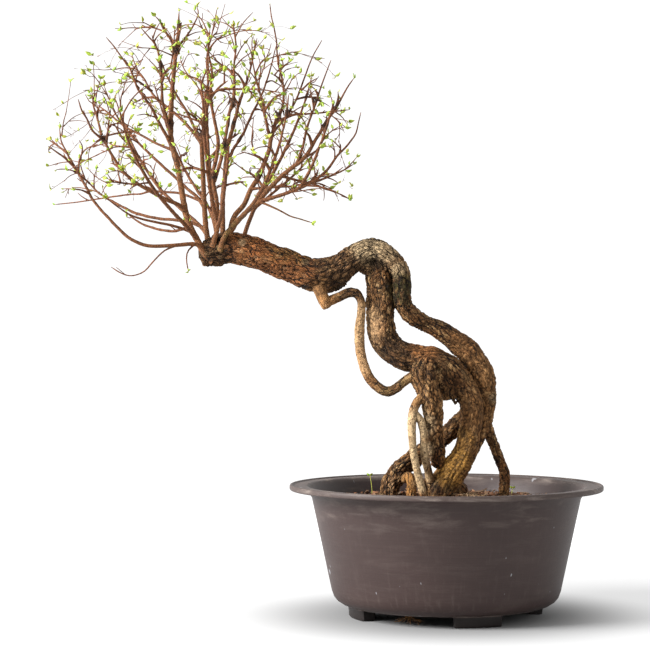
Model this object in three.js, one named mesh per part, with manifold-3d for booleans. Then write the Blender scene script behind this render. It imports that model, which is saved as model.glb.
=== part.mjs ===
// Chinese elm bonsai with an exposed, looping root trunk in a round training pot.
// Millimetres, +Z up. The front, which faces the viewer, is -Y.
import * as THREE from 'three';
import { mergeVertices } from 'three/addons/utils/BufferGeometryUtils.js';
import Module from 'manifold-3d';

// Pot
const rimRadius = 156.5;
const rimTop = 131;
const flangeThickness = 5.5;
const flangeWidth = 19.5;
const beadWidth = 3.2;
const beadRise = 1;
const wallThickness = 3;
const wallTopRadius = 134.2;
const wallTopHeight = 118;
const wallLowRadius = 114.4;
const wallLowHeight = 26;
const baseHeight = 10;
const baseRadius = 92;
const baseThickness = 3.5;
const potSegments = 32;
const footCount = 4;
const footOuterRadius = 97;
const footInnerRadius = 83;
const footLength = 46;
const firstFootAngle = 16;
const drainRadius = 6.5;
const drainRing = 82;

// Soil
const soilHeight = 113;
const moundHeight = 7;
const moundReach = 62;
const moundCentre = [-8, -2];
const soilRelief = 1.1;
const soilRings = 5;
const soilLumps = 10;
const lumpSeed = 17;
const gap = 0.35;

// Seedlings in the soil
const seedlingSink = 5;
const seedlingRadius = 0.6;
const seedlingBlade = 1.3;
const seedlings = [
  { x: -72, y: 78, height: 20, lean: -2.5, spread: 4 },
  { x: 72, y: 72, height: 8, lean: 1, spread: 3.6 },
];

// Trunk and roots. Thick wood has more sides than thin roots, and deeper lobes.
const thickWood = 6;
const thinSides = 7;
const thickLobes = 0.06;
const thinLobes = 0.03;
const trunkSides = 8;
const trunkStep = 13;

// Shoots. New wood grows towards aims spread over the dome of the crown.
const socketReach = 44;
const crownCentre = [-242, 458, 0];
const crownRadii = [159, 155, 138];
const crownFloor = -0.3;
const crownSeed = 4211;
const boughCount = 46;
const twigCount = 132;
const leafShare = 0.8;
const limbStep = 23;
const twigStep = 21;
const budsPerRun = 3;
const budSpacing = 3.5;
const twigClearance = 0.6;
const boughRadius = 1.5;
const twigRadius = 0.95;
const leafLength = 6.5;
const leafWidth = 3.4;
const leafThickness = 0.8;

// Joins leave nothing finer than this
const sliver = 0.03;

// The routes below are read from the front: [x, height, depth, diameter], x from the pot's axis,
// height from the floor, as seen at the depth of the pot's axis from this far away.
const eyeDistance = 2120;
const eyeHeight = 290;
const eyeSide = -121;

const trunkRoutes = {
  trunkAndOuterRoot: [
    [-240, 361, 0, 24], [-232, 364, 0, 29], [-210, 367, -1, 31], [-178, 357, -2, 29],
    [-151, 347, -3, 29], [-132, 340, -3, 33], [-114, 343, -2, 30], [-100, 351, -3, 27],
    [-86, 361, -4, 23], [-73, 365.5, -5, 20.5], [-60, 361, -7, 19], [-50, 351.5, -8, 18],
    [-44, 339, -8, 17.5], [-43.5, 325, -7, 17], [-43, 311, -5, 17], [-35, 300, -2, 17],
    [-22, 293, 2, 16], [-6, 284, 6, 18], [9, 274, 10, 21], [22, 263, 13, 24], [32, 249, 14, 25],
    [38, 234, 13, 23], [41, 219, 12, 18], [41, 204, 10, 14], [38, 189, 7, 12], [33, 176, 4, 11],
    [27, 164, 0, 10]
  ],
  mainRoot: [
    [-67, 353, 4, 25], [-66, 333, 4, 28], [-65.5, 312, 3, 28], [-65.5, 292, 1, 27],
    [-63, 277, 0, 27], [-54, 265, -1, 27], [-40, 258, -3, 27], [-25, 255, -3, 26],
    [-10, 253, -1, 28], [3, 245, 1, 28], [14, 232, 2, 26], [23, 217, 1, 24], [26, 200, -1, 22],
    [24, 183, -4, 21], [20, 167, -7, 22], [13, 153, -9, 24], [4, 139, -11, 27], [-5, 125, -12, 28],
    [-8, 107, -12, 24]
  ],
  kneeRoot: [
    [-18, 252, -7, 20], [-23, 241, -17, 25], [-18.5, 227, -22, 23], [-14.5, 213, -23, 20],
    [-12.5, 197, -22, 18], [-11.5, 182, -20, 16.5], [-9.5, 168, -18, 16], [-8.5, 157, -17, 14],
    [-10, 148, -16, 9]
  ],
  web: [
    [-8, 247, -5, 24], [1, 231, -2, 23], [4, 216, -1, 15]
  ],
  webRoot: [
    [-8, 239, -16, 6], [-2, 228, -13, 3.5], [4, 219, -8, 3.5], [10, 211, -4, 4]
  ],
  crossingRoot: [
    [24, 206, 3, 13], [16, 195, 12, 16], [3, 182, 16, 17], [-15, 168, 14, 18], [-32, 156, 9, 18],
    [-46, 144, 5, 19], [-55, 131, 2, 19], [-58, 112, 1, 16]
  ],
  paleRootLeft: [
    [-22, 221, -25, 10], [-31, 209, -30, 8.5], [-34, 196, -32, 8], [-34, 180, -33, 7.5],
    [-33, 166, -34, 7], [-31, 153, -35, 7], [-27.5, 139, -36, 7.5], [-24, 125, -37, 8],
    [-22, 109, -37, 7]
  ],
  paleRootRight: [
    [-31, 201, -31, 7], [-25, 194, -30, 7.5], [-22.5, 182, -30, 7.2], [-22, 169, -29, 7.2],
    [-20.5, 156, -27, 8], [-18, 144, -23, 8], [-15, 131, -17, 8]
  ],
  orangeRoot: [
    [-42, 135, -3, 8], [-37, 139, -12, 9], [-34.5, 131, -19, 9], [-35, 119, -22, 10],
    [-35, 108, -22, 8]
  ],
  rightRoot: [
    [38, 196, 8, 10], [42, 186, 10, 10], [46, 175, 13, 10.5], [50, 164, 16, 10.5],
    [53.5, 154, 18, 10], [58, 144, 20, 10], [59, 132, 21, 11], [57.5, 118, 22, 12],
    [57, 107, 22, 10]
  ],
  baseMass: [
    [-22, 131, -6, 18], [-7, 125, -4, 30], [7, 124, -1, 28], [18, 121, 2, 16]
  ],
  cutStub: [
    [-130, 339, -7, 13], [-126, 325, -12, 12], [-121, 312, -15, 10.5], [-119, 307, -16, 8.5]
  ],
  loopRoot: [
    [-120, 312, -14, 9], [-107, 318, -10, 9.5], [-97, 322.5, -9, 9], [-89, 321, -9, 9],
    [-85, 313, -9, 8.5], [-85, 300, -9, 8.5], [-86.5, 284, -8, 9.5], [-86, 267, -8, 9.5],
    [-82.5, 251, -9, 9], [-76.5, 237.5, -12, 9.5], [-68, 228, -15, 10], [-59, 223.5, -18, 10],
    [-50, 226.5, -20, 9.5], [-41, 234, -21, 9], [-31, 241, -19, 9]
  ],
  darkWood: [
    [-130, 334, 4, 20], [-116, 331, 3, 19], [-103, 336, 2, 13]
  ],
  endKnob: [
    [-243, 372, 4, 9], [-240, 364, 2, 19], [-235, 353, -1, 15]
  ],
  kneeKnob: [
    [-86, 352, -1, 10], [-79, 349, 0, 19], [-72, 352, 1, 14]
  ],
  elbowKnob: [
    [32, 223, 6, 8], [44, 220, 8, 13], [49, 218, 8, 8]
  ],
};

const shootRoutes = {
  shoot_1: {
    stem: [
      [-233, 355, -5, 9], [-241, 361, -7, 8.4], [-248.3, 374, -8, 8], [-258.5, 395.4, -8, 7.5],
      [-264.6, 426, -8, 7], [-268.7, 450.5, -7, 6.5], [-274, 470, -6, 6.3], [-275.4, 490, -5, 6.2],
      [-273.6, 526, -3, 5.2], [-271.1, 554, 0, 4.8], [-270.1, 566, 1, 5], [-267, 584.4, 2, 4.2],
      [-267, 591.5, 2, 3.6]
    ],
    topRight: [
      [-270, 565, 1, 3.2], [-261, 577, 6, 2.6], [-255, 585.4, 9, 2.2], [-251, 593, 11, 2],
      [-247.6, 601, 12, 1.6], [-249, 608, 13, 1.2]
    ],
    topLeft: [
      [-271.5, 568, 1, 3], [-276, 577, -5, 2.5], [-282.3, 585.4, -9, 2], [-286, 593.6, -12, 1.7],
      [-291, 599, -14, 1.2]
    ],
    upperLeft: [
      [-274.5, 483, -5, 4], [-280, 499, -9, 3.8], [-283.3, 513, -13, 3.4], [-284.4, 533.4, -18, 3],
      [-285.4, 550, -22, 3.4], [-289.5, 568, -26, 2.3], [-298, 579, -29, 1.8], [-305, 587, -31, 1.2]
    ],
    midLeft: [
      [-274, 468, -6, 4.6], [-280, 480, -10, 4.2], [-286.3, 491, -14, 3.9],
      [-294.4, 507, -20, 3.5], [-300.6, 516, -24, 3.3], [-307.8, 525.5, -28, 3],
      [-312.2, 537, -30, 2.6], [-316.7, 548, -32, 2.2], [-322, 557, -34, 1.5]
    ],
    flatLeft: [
      [-273, 465, -6, 3.4], [-284, 469, 0, 3.1], [-294.4, 474, 5, 3], [-305, 480, 10, 2.8],
      [-322, 489, 20, 2.5], [-338, 502.3, 28, 2.2], [-348, 509.5, 34, 1.5]
    ],
    lowArch: [
      [-240, 360, -8, 6], [-245, 368, -13, 5.6], [-253, 371, -18, 5.2], [-274, 369.5, -26, 4.8],
      [-296, 369, -32, 4.5], [-309.5, 373, -35, 4.3], [-320.7, 380, -37, 4],
      [-338, 397.5, -39, 3.6], [-352.3, 414, -40, 3.2], [-361.5, 431, -40, 3],
      [-372.7, 450.5, -39, 2.6], [-382, 467.5, -38, 2], [-385.5, 477, -37, 1.7],
      [-386.4, 487, -36, 1.2]
    ],
    archTipLow: [
      [-370, 446, -39, 2.2], [-380, 456, -44, 1.9], [-388, 462, -48, 1.7], [-398, 469, -52, 1.2]
    ],
    archTipHigh: [
      [-379, 462, -38, 2], [-388, 469, -33, 1.7], [-398.5, 476, -28, 1.2]
    ],
    archTipInner: [
      [-368, 442, -40, 2.2], [-366, 457, -45, 1.9], [-360, 466, -48, 1.6], [-348, 471, -54, 1.2]
    ],
    archHanger: [
      [-270, 369.5, -25, 2.2], [-282, 364, -24, 1.7], [-293.2, 353, -22, 1.6],
      [-301.3, 344, -20, 1.5], [-309, 340.4, -19, 1.4], [-317.7, 339.3, -18, 1.3],
      [-327, 343, -17, 1.2], [-335, 348, -16, 1.1]
    ],
    shortHanger: [
      [-251, 371, -17, 2], [-258, 364, -20, 1.5], [-259.5, 355, -21, 1.3], [-257.5, 343.4, -22, 1.1]
    ],
    lowSide: [
      [-252, 382, -8, 4], [-264, 386.5, -13, 3.6], [-276, 390, -17, 3.3], [-298, 394.5, -24, 2.9],
      [-314.6, 399.5, -30, 2.4], [-328, 408, -36, 1.8], [-340, 417, -42, 1.2]
    ],
    lowTwig: [
      [-255.5, 389, -8, 3], [-266, 385, -3, 2.7], [-278, 384, 2, 2.5], [-296, 388, 8, 2.2],
      [-309, 394, 12, 1.8], [-320, 403, 16, 1.2]
    ],
    longSide: [
      [-260, 401, -8, 5.5], [-266, 409.5, -13, 5.2], [-279, 415, -20, 5], [-294.2, 423, -27, 4.7],
      [-309.5, 432, -33, 4.4], [-323, 443.4, -38, 4], [-331, 455, -41, 3.7], [-337, 465, -43, 3.4],
      [-341.5, 474, -45, 3], [-345, 481, -46, 2.6]
    ],
    longTipLeft: [
      [-342, 475, -45, 2.4], [-353.3, 484, -52, 2.1], [-359, 496, -58, 1.8], [-364, 504, -62, 1.6],
      [-368, 516, -66, 1.2]
    ],
    longTipMid: [
      [-344.5, 480, -46, 2.3], [-348, 494.3, -44, 2], [-352.4, 509, -42, 1.7], [-354, 523, -40, 1.2]
    ],
    longTipRight: [
      [-340, 471, -44, 2.3], [-338, 485, -50, 1.9], [-337, 495, -54, 1.6], [-335, 507, -58, 1.2]
    ],
    thinLow: [
      [-296, 424, -27, 2], [-306, 421, -20, 1.8], [-317, 420.5, -12, 1.7], [-342, 417, 2, 1.6],
      [-368, 413, 12, 1.4], [-391, 410.5, 20, 1.1]
    ],
    frontLeft: [
      [-250, 377, -9, 5], [-260, 389, -26, 4.8], [-274, 404, -48, 4.5], [-290, 423, -70, 4.2],
      [-304, 445, -88, 3.6], [-315, 467, -100, 3], [-322, 487, -107, 2.2], [-327, 505, -112, 1.5]
    ],
  },
  shoot_2: {
    stem: [
      [-232, 361, 4, 8], [-236.5, 367, 5, 7.4], [-238.5, 377, 6, 7], [-240.3, 389, 8, 6.8],
      [-242, 416, 11, 6.4], [-243, 442.5, 13, 6], [-244, 462, 14, 5.8], [-244.7, 482, 15, 5.2]
    ],
    stubLeft: [
      [-244, 471, 14, 4.2], [-255.5, 486, 18, 3.8], [-267, 498, 22, 3.5], [-275.2, 505, 26, 3.2],
      [-292.5, 520, 34, 2.8], [-302.7, 537.4, 40, 2.2], [-316, 552, 46, 1.4]
    ],
    stubUp: [
      [-244.5, 475, 15, 4.4], [-251, 486, 17, 4], [-255, 494.3, 18, 3.7], [-259, 503, 18, 3.4],
      [-269.5, 520, 17, 2.8], [-279.3, 539.5, 16, 2], [-286, 557, 15, 1.3]
    ],
    stubTop: [
      [-244.5, 478, 15, 4], [-240, 497, 20, 3.5], [-241, 517, 26, 3], [-237, 537, 31, 2.6],
      [-239, 559, 36, 2.1], [-234, 581, 40, 1.7], [-229, 606, 44, 1.2]
    ],
    longLeft: [
      [-242.2, 409, 11, 4.5], [-250, 419, 15, 4.3], [-258.5, 426, 19, 4], [-270, 437, 23, 3.8],
      [-284, 449.5, 27, 3.6], [-299.3, 464, 31, 3.3], [-317, 482, 35, 2.8], [-327.4, 496, 37, 2.3],
      [-335, 509, 38, 1.5]
    ],
    flatLeft: [
      [-241.7, 412, 11, 3.4], [-254, 417.5, 19, 3.2], [-268, 422, 27, 3.1], [-291, 424, 37, 2.8],
      [-307.4, 430, 43, 2.5], [-323, 432, 48, 2.1], [-339, 436.5, 53, 1.3]
    ],
    lowLeft: [
      [-240, 386, 8, 4.2], [-250, 390.5, 11, 4], [-258.5, 393.4, 14, 3.9], [-274, 395.4, 19, 3.8],
      [-288, 396.5, 24, 3.6], [-309.5, 401.6, 32, 3.4], [-325, 409, 38, 3], [-343, 419, 44, 2.6],
      [-352.3, 427, 47, 2.2], [-366, 442, 50, 1.4]
    ],
    backLeft: [
      [-239.5, 382, 7, 5], [-250, 393, 26, 4.8], [-266, 407, 48, 4.5], [-285, 425, 70, 4.1],
      [-302, 449, 88, 3.6], [-315, 473, 100, 3], [-324, 497, 106, 2.2], [-331, 517, 110, 1.5]
    ],
  },
  shoot_3: {
    stem: [
      [-233, 369, -11, 6.8], [-231.7, 376, -14, 6.4], [-228.7, 386, -17, 6.1],
      [-228.7, 402.3, -22, 5.8], [-229.6, 416, -26, 5.5], [-232.2, 429, -30, 5.2],
      [-233, 442.5, -34, 5], [-229.6, 457, -38, 4.6], [-228, 475, -42, 4.2], [-232, 497, -46, 3.8],
      [-236, 520, -49, 3.2], [-234, 543, -52, 2.6], [-238, 565, -54, 2], [-236, 587, -56, 1.3]
    ],
    upright: [
      [-232.5, 434, -31, 4.6], [-226.5, 450, -29, 4.4], [-222.4, 468, -26, 4.2],
      [-219, 487, -23, 4], [-216.5, 503, -20, 3.9], [-213, 513, -18, 4.3], [-211.5, 533, -15, 3],
      [-212, 549, -13, 2.4], [-210, 571, -11, 1.8], [-213, 593, -9, 1.2]
    ],
    front: [
      [-228.5, 393, -19, 5], [-232, 407, -38, 4.8], [-236, 427, -62, 4.6], [-239, 453, -84, 4.2],
      [-242, 483, -100, 3.6], [-243, 513, -109, 2.8], [-246, 539, -114, 1.6]
    ],
    lowFront: [
      [-228.6, 388, -18, 4.8], [-226, 396, -42, 4.6], [-224, 408, -70, 4.4], [-222, 425, -98, 4],
      [-219, 447, -119, 3.2], [-217, 469, -131, 1.9]
    ],
  },
  shoot_4: {
    stem: [
      [-224, 370, 4, 6.8], [-223.3, 383, 5, 6.4], [-223.3, 396, 7, 6.2], [-223.3, 416, 11, 6],
      [-221.5, 434, 16, 5.7], [-220.2, 451.4, 21, 5.3], [-218.5, 467.5, 26, 5],
      [-214.4, 483, 31, 4.6], [-211.5, 493, 34, 4.2], [-207, 511, 38, 3.5], [-200, 531, 42, 2.8],
      [-194, 553, 46, 2.2], [-189, 577, 49, 1.4]
    ],
    rightFork: [
      [-220.5, 447, 20, 3.8], [-213, 465, 26, 3.6], [-203, 481, 33, 3.3], [-194, 501, 40, 2.9],
      [-184, 521, 46, 2.4], [-176, 545, 50, 1.9], [-170, 569, 53, 1.2]
    ],
  },
  shoot_5: {
    stem: [
      [-220, 372, -6, 6.8], [-214.5, 385, -6, 6.3], [-204.6, 398, -7, 6], [-187, 415, -10, 5.7],
      [-178, 425, -12, 5.5], [-162, 441, -16, 5.2], [-142, 457, -20, 4.6], [-130, 476, -23, 4],
      [-121.4, 490, -25, 3.6], [-113, 503.4, -27, 3.2], [-106.5, 513.3, -28, 2.6],
      [-99, 527, -29, 1.9], [-92, 537, -30, 1.3]
    ],
    lowRight: [
      [-164, 439, -15.5, 3.2], [-150, 435, -12, 2.8], [-133, 431, -8, 2.5], [-121, 426.3, -5, 2.2],
      [-106, 421, -1, 1.7], [-97, 416.3, 1, 1.2]
    ],
    upper: [
      [-149, 451.5, -18, 3.4], [-143, 469, -24, 3.1], [-139, 487, -30, 2.8], [-132, 507, -36, 2.4],
      [-124, 531, -41, 1.9], [-115, 555, -45, 1.2]
    ],
  },
  shoot_6: {
    stem: [
      [-213, 369, 10, 7.6], [-215.5, 384, 11, 7.2], [-211.5, 399, 13, 6.9], [-202, 410.3, 15, 6.7],
      [-195.6, 425, 18, 6.5], [-187.5, 438, 21, 6.2], [-182, 451.4, 24, 5.9], [-177, 465, 27, 5.6],
      [-174.5, 478.2, 29, 5.2], [-168, 500, 32, 4.4]
    ],
    inner: [
      [-175, 475, 28.5, 4], [-178, 485.4, 26, 3.6], [-181.3, 500.5, 23, 3.4], [-183, 510, 21, 3.2],
      [-186.4, 523, 18, 2.6], [-191, 541, 15, 2], [-195, 563, 12, 1.3]
    ],
    right: [
      [-195, 426, 18, 3.4], [-184, 427, 13, 3.2], [-169, 428, 9, 2.8], [-153, 429, 6, 2.4],
      [-138, 433, 3, 1.9], [-120, 441, 0, 1.2]
    ],
    top: [
      [-170, 494, 31, 3.4], [-163, 511, 37, 3], [-163, 531, 42, 2.6], [-168, 553, 46, 2.2],
      [-170, 577, 49, 1.8], [-175, 601, 51, 1.4], [-176, 611, 52, 1.1]
    ],
    outer: [
      [-173.5, 482, 30, 3.4], [-161, 497, 38, 3.1], [-150, 515, 45, 2.7], [-142, 536, 51, 2.2],
      [-134, 557, 55, 1.7], [-124, 575, 58, 1.2]
    ],
  },
  shoot_7: {
    stem: [
      [-226, 364, -13, 6.4], [-223.5, 374, -16, 5.9], [-218, 383.6, -19, 5.5],
      [-208, 395, -23, 5.2], [-195.6, 407, -27, 5], [-187, 413, -30, 4.8], [-171, 418, -34, 4.4],
      [-159, 422, -37, 4.2], [-146.3, 427, -40, 4], [-135.5, 432, -42, 3.8],
      [-125.5, 439, -44, 3.4], [-117.2, 447, -46, 3.1], [-109, 459, -48, 2.8],
      [-101, 467, -49, 2.5], [-95, 474.4, -50, 2.2], [-90, 482, -51, 1.9], [-87.4, 493, -52, 1.5],
      [-85, 503, -52, 1.1]
    ],
    sideTip: [
      [-134, 433, -42, 2.6], [-125.5, 435, -36, 2.4], [-116, 439, -31, 2.1], [-106, 443, -26, 1.7],
      [-92, 451, -20, 1.2]
    ],
    lowTip: [
      [-187, 413.5, -30, 2.6], [-177, 409.5, -35, 2.2], [-165.3, 404, -40, 1.8],
      [-156, 399, -44, 1.6], [-144.6, 395.6, -48, 1.4], [-134, 392.3, -52, 1.1]
    ],
    frontRight: [
      [-209, 394, -23, 4.8], [-199, 404, -44, 4.6], [-188, 419, -67, 4.3], [-178, 439, -87, 3.8],
      [-169, 463, -101, 3.2], [-162, 489, -109, 2.4], [-158, 511, -113, 1.5]
    ],
    upper: [
      [-146, 427.5, -40, 3], [-135, 447, -50, 2.7], [-127, 467, -59, 2.4], [-119, 489, -66, 1.9],
      [-113, 511, -70, 1.2]
    ],
  },
  shoot_8: {
    stem: [
      [-224, 363, 9, 6.4], [-225.5, 370, 17, 6.2], [-229.5, 382, 31, 5.8], [-233, 404, 51, 5.4],
      [-235, 433, 72, 5], [-238, 467, 90, 4.4], [-239, 500, 102, 3.6], [-238, 531, 108, 2.6],
      [-240, 555, 111, 1.5]
    ],
    leftFork: [
      [-232, 399, 47, 4], [-245, 419, 62, 3.7], [-260, 443, 76, 3.3], [-274, 473, 86, 2.8],
      [-284, 505, 92, 2.2], [-292, 531, 95, 1.3]
    ],
  },
  shoot_9: {
    stem: [
      [-203, 362, 7, 6.2], [-203.5, 371, 17, 6], [-199, 388, 34, 5.5], [-189, 412, 54, 5],
      [-175, 438, 74, 4.6], [-161, 465, 90, 4], [-149, 492, 99, 3.2], [-140, 517, 104, 2.3],
      [-134, 539, 107, 1.4]
    ],
    lowFork: [
      [-192, 406, 49, 3.8], [-172, 423, 62, 3.4], [-151, 441, 74, 2.9], [-131, 463, 82, 2.2],
      [-117, 483, 86, 1.3]
    ],
  },
  shoot_10: {
    stem: [
      [-218, 356, 8, 5.8], [-219, 358, 19, 5.4], [-224, 368, 45, 5], [-230, 384, 75, 4.5],
      [-234, 405, 103, 3.8], [-234, 431, 123, 3], [-231, 455, 134, 1.8]
    ],
  },
};

const wasm = await Module();
wasm.setup();

// A seeded draw from 0 to 1
function makeDraw(seed) {
  let state = seed;
  return () => {
    state = (state * 16807) % 2147483647;
    return state / 2147483647;
  };
}

// A closed geometry as a solid
function solidOf(geometry) {
  const bare = new THREE.BufferGeometry();
  bare.setAttribute('position', geometry.getAttribute('position').clone());
  bare.setIndex(geometry.index);
  const merged = mergeVertices(bare, 1e-4);
  return new wasm.Manifold(new wasm.Mesh({
    numProp: 3,
    vertProperties: merged.attributes.position.array,
    triVerts: new Uint32Array(merged.index.array),
  }));
}

const join = (solids) => wasm.Manifold.union(solids);

// The largest body of a solid, without loose scraps and the finest slivers
function largestBody(solid) {
  const bodies = solid.setTolerance(sliver).simplify(sliver).decompose();
  return bodies.reduce((best, body) => (body.volume() > best.volume() ? body : best));
}

function geometryOf(solid) {
  const mesh = solid.getMesh();
  const geometry = new THREE.BufferGeometry();
  const position = new THREE.BufferAttribute(new Float32Array(mesh.vertProperties), 3);
  geometry.setAttribute('position', position);
  geometry.setIndex(new THREE.BufferAttribute(new Uint32Array(mesh.triVerts), 1));
  geometry.computeVertexNormals();
  return geometry;
}

// A point seen from the front, carried back along the line of sight to its depth
function place([x, height, depth]) {
  const spread = 1 + depth / eyeDistance;
  return new THREE.Vector3(
    eyeSide + (x - eyeSide) * spread,
    depth,
    eyeHeight + (height - eyeHeight) * spread,
  );
}

function pathOf(route) {
  return {
    points: route.map(place),
    radii: route.map((point) => point[3] / 2),
  };
}

// Even steps along a smooth curve through a path's points, with the radius at each
function stepsAlong(path, step, fewest = 2) {
  const curve = new THREE.CatmullRomCurve3(path.points, false, 'catmullrom', 0.5);
  const count = Math.max(fewest, Math.round(curve.getLength() / step));
  const frames = curve.computeFrenetFrames(count, false);
  const last = path.radii.length - 1;
  return Array.from({ length: count + 1 }, (_, i) => {
    const along = i / count;
    const t = curve.getUtoTmapping(along) * last;
    const index = Math.min(last - 1, Math.floor(t));
    const radius = path.radii[index] + (path.radii[index + 1] - path.radii[index]) * (t - index);
    return {
      along,
      radius,
      centre: curve.getPointAt(along),
      tangent: frames.tangents[i],
      across: frames.normals[i],
      over: frames.binormals[i],
    };
  });
}

// A closed tube through rings. A ring with width and thickness is flat, and a last one may be a point.
function tube(rings, sides, outline = () => 1) {
  const pointed = rings[rings.length - 1].radius === 0;
  const full = pointed ? rings.length - 1 : rings.length;
  const vertices = [];
  for (let i = 0; i < full; i += 1) {
    const ring = rings[i];
    for (let k = 0; k < sides; k += 1) {
      const angle = (k / sides) * Math.PI * 2;
      const size = outline(angle, i);
      const wide = (ring.width ?? ring.radius) * size * Math.cos(angle);
      const deep = (ring.thickness ?? ring.radius) * size * Math.sin(angle);
      const vertex = ring.centre.clone().addScaledVector(ring.across, wide).addScaledVector(ring.over, deep);
      vertices.push(vertex.x, vertex.y, vertex.z);
    }
  }
  const faces = [];
  for (let i = 0; i + 1 < full; i += 1) {
    for (let k = 0; k < sides; k += 1) {
      const next = (k + 1) % sides;
      const a = i * sides + k;
      const b = i * sides + next;
      faces.push(a, b, b + sides, a, b + sides, a + sides);
    }
  }
  for (let k = 1; k + 1 < sides; k += 1) {
    faces.push(0, k + 1, k);
  }
  const end = (full - 1) * sides;
  if (pointed) {
    const tip = rings[full].centre;
    vertices.push(tip.x, tip.y, tip.z);
    for (let k = 0; k < sides; k += 1) {
      faces.push(end + k, end + ((k + 1) % sides), full * sides);
    }
  } else {
    for (let k = 1; k + 1 < sides; k += 1) {
      faces.push(end, end + k, end + k + 1);
    }
  }
  const geometry = new THREE.BufferGeometry();
  geometry.setAttribute('position', new THREE.Float32BufferAttribute(vertices, 3));
  geometry.setIndex(faces);
  return geometry;
}

// The pot's wall is a plain cone, from its rounded foot to just under the flange
function outside(height) {
  const slope = (wallTopRadius - wallLowRadius) / (wallTopHeight - wallLowHeight);
  return wallLowRadius + slope * (height - wallLowHeight);
}

const inside = (height) => outside(height) - wallThickness;

// The profile runs from the middle of the underside, out over the rim and back inside
function potProfile() {
  const flangeUnder = rimTop - flangeThickness;
  const flangeTop = rimTop - beadRise;
  const opening = rimRadius - flangeWidth;
  const floor = baseHeight + baseThickness;
  return [
    [0, baseHeight],
    [baseRadius, baseHeight],
    [baseRadius + 10, baseHeight + 2],
    [baseRadius + 17, baseHeight + 6],
    [wallLowRadius - 1.6, baseHeight + 11],
    [outside(wallLowHeight), wallLowHeight],
    [outside(wallTopHeight), wallTopHeight],
    [opening, flangeUnder - 3],
    [opening + 5, flangeUnder],
    [rimRadius - 1.2, flangeUnder],
    [rimRadius, flangeUnder + 1.6],
    [rimRadius - 1.2, rimTop],
    [rimRadius - beadWidth, rimTop],
    [rimRadius - beadWidth - 1, flangeTop],
    [opening + 2, flangeTop],
    [inside(wallTopHeight), wallTopHeight],
    [inside(wallLowHeight), wallLowHeight + 1],
    [baseRadius + 13, floor + 4],
    [baseRadius + 3, floor],
    [0, floor],
  ];
}

function latheSolid(profile, segments) {
  return solidOf(new THREE.LatheGeometry(profile.map(([r, z]) => new THREE.Vector2(r, z)), segments)
    .rotateX(Math.PI / 2));
}

function footSolid(angle) {
  const middle = (footOuterRadius + footInnerRadius) / 2;
  const half = footLength / middle / 2;
  const outline = new THREE.Shape();
  outline.absarc(0, 0, footOuterRadius, -half, half, false);
  outline.absarc(0, 0, footInnerRadius, half, -half, true);
  outline.closePath();
  const block = new THREE.ExtrudeGeometry(outline, {
    depth: baseHeight + 1.5,
    bevelEnabled: false,
    curveSegments: 4,
  });
  return solidOf(block.rotateZ(THREE.MathUtils.degToRad(angle)));
}

function drainCentre(index) {
  const turn = 360 / footCount;
  const angle = THREE.MathUtils.degToRad(firstFootAngle + turn * (index + 0.5));
  return [drainRing * Math.cos(angle), drainRing * Math.sin(angle)];
}

function uprightTube(x, y, low, high, radius, sides) {
  const post = new THREE.CylinderGeometry(radius, radius, high - low, sides);
  return solidOf(post.rotateX(Math.PI / 2).translate(x, y, (low + high) / 2));
}

function potSolid() {
  let pot = latheSolid(potProfile(), potSegments);
  for (let i = 0; i < footCount; i += 1) {
    pot = pot.add(footSolid(firstFootAngle + (360 / footCount) * i));
  }
  for (let i = 0; i < footCount; i += 1) {
    const [x, y] = drainCentre(i);
    pot = pot.subtract(uprightTube(x, y, 0, baseHeight + 10, drainRadius, 12));
  }
  return pot;
}

// Soil: a body with a raised, grainy top, and a tuft of root through one drain hole
function soilTop(x, y) {
  const reach = Math.hypot(x - moundCentre[0], y - moundCentre[1]) / moundReach;
  const grain = Math.sin(x * 0.31 + y * 0.17) * Math.sin(y * 0.27 - x * 0.11)
    + 0.6 * Math.sin(x * 0.53 - y * 0.61);
  return soilHeight + moundHeight * Math.exp(-reach * reach) + soilRelief * grain;
}

function soilSolid() {
  const floor = baseHeight + baseThickness + gap;
  const edge = (height) => inside(height) - gap;
  const vertices = [0, 0, floor];
  const rings = [
    { radius: baseRadius + 2, height: floor },
    { radius: edge(wallLowHeight) - 1, height: wallLowHeight + 2 },
  ];
  for (let i = soilRings; i > 0; i -= 1) {
    rings.push({ radius: (edge(soilHeight - 2) * i) / soilRings, top: true });
  }
  rings.forEach((ring) => {
    for (let k = 0; k < potSegments; k += 1) {
      const angle = (k / potSegments) * Math.PI * 2;
      const x = ring.radius * Math.cos(angle);
      const y = ring.radius * Math.sin(angle);
      vertices.push(x, y, ring.top ? soilTop(x, y) : ring.height);
    }
  });
  vertices.push(0, 0, soilTop(0, 0));
  const top = 1 + rings.length * potSegments;
  const faces = [];
  for (let k = 0; k < potSegments; k += 1) {
    const next = (k + 1) % potSegments;
    faces.push(0, 1 + next, 1 + k);
    for (let i = 0; i + 1 < rings.length; i += 1) {
      const a = 1 + i * potSegments + k;
      const b = 1 + i * potSegments + next;
      faces.push(a, b, b + potSegments, a, b + potSegments, a + potSegments);
    }
    const inner = 1 + (rings.length - 1) * potSegments;
    faces.push(inner + k, inner + next, top);
  }
  const geometry = new THREE.BufferGeometry();
  geometry.setAttribute('position', new THREE.Float32BufferAttribute(vertices, 3));
  geometry.setIndex(faces);
  return solidOf(geometry);
}

function lumpSolids() {
  const draw = makeDraw(lumpSeed);
  return Array.from({ length: soilLumps }, () => {
    const angle = draw() * Math.PI * 2;
    const radius = 20 + 96 * Math.sqrt(draw());
    const size = 2.6 + 2.4 * draw();
    const x = radius * Math.cos(angle);
    const y = radius * Math.sin(angle);
    const lump = new THREE.OctahedronGeometry(size).scale(1, 1, 0.7).rotateZ(draw() * 3);
    return solidOf(lump.translate(x, y, soilTop(x, y) + size * 0.15));
  });
}

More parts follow.
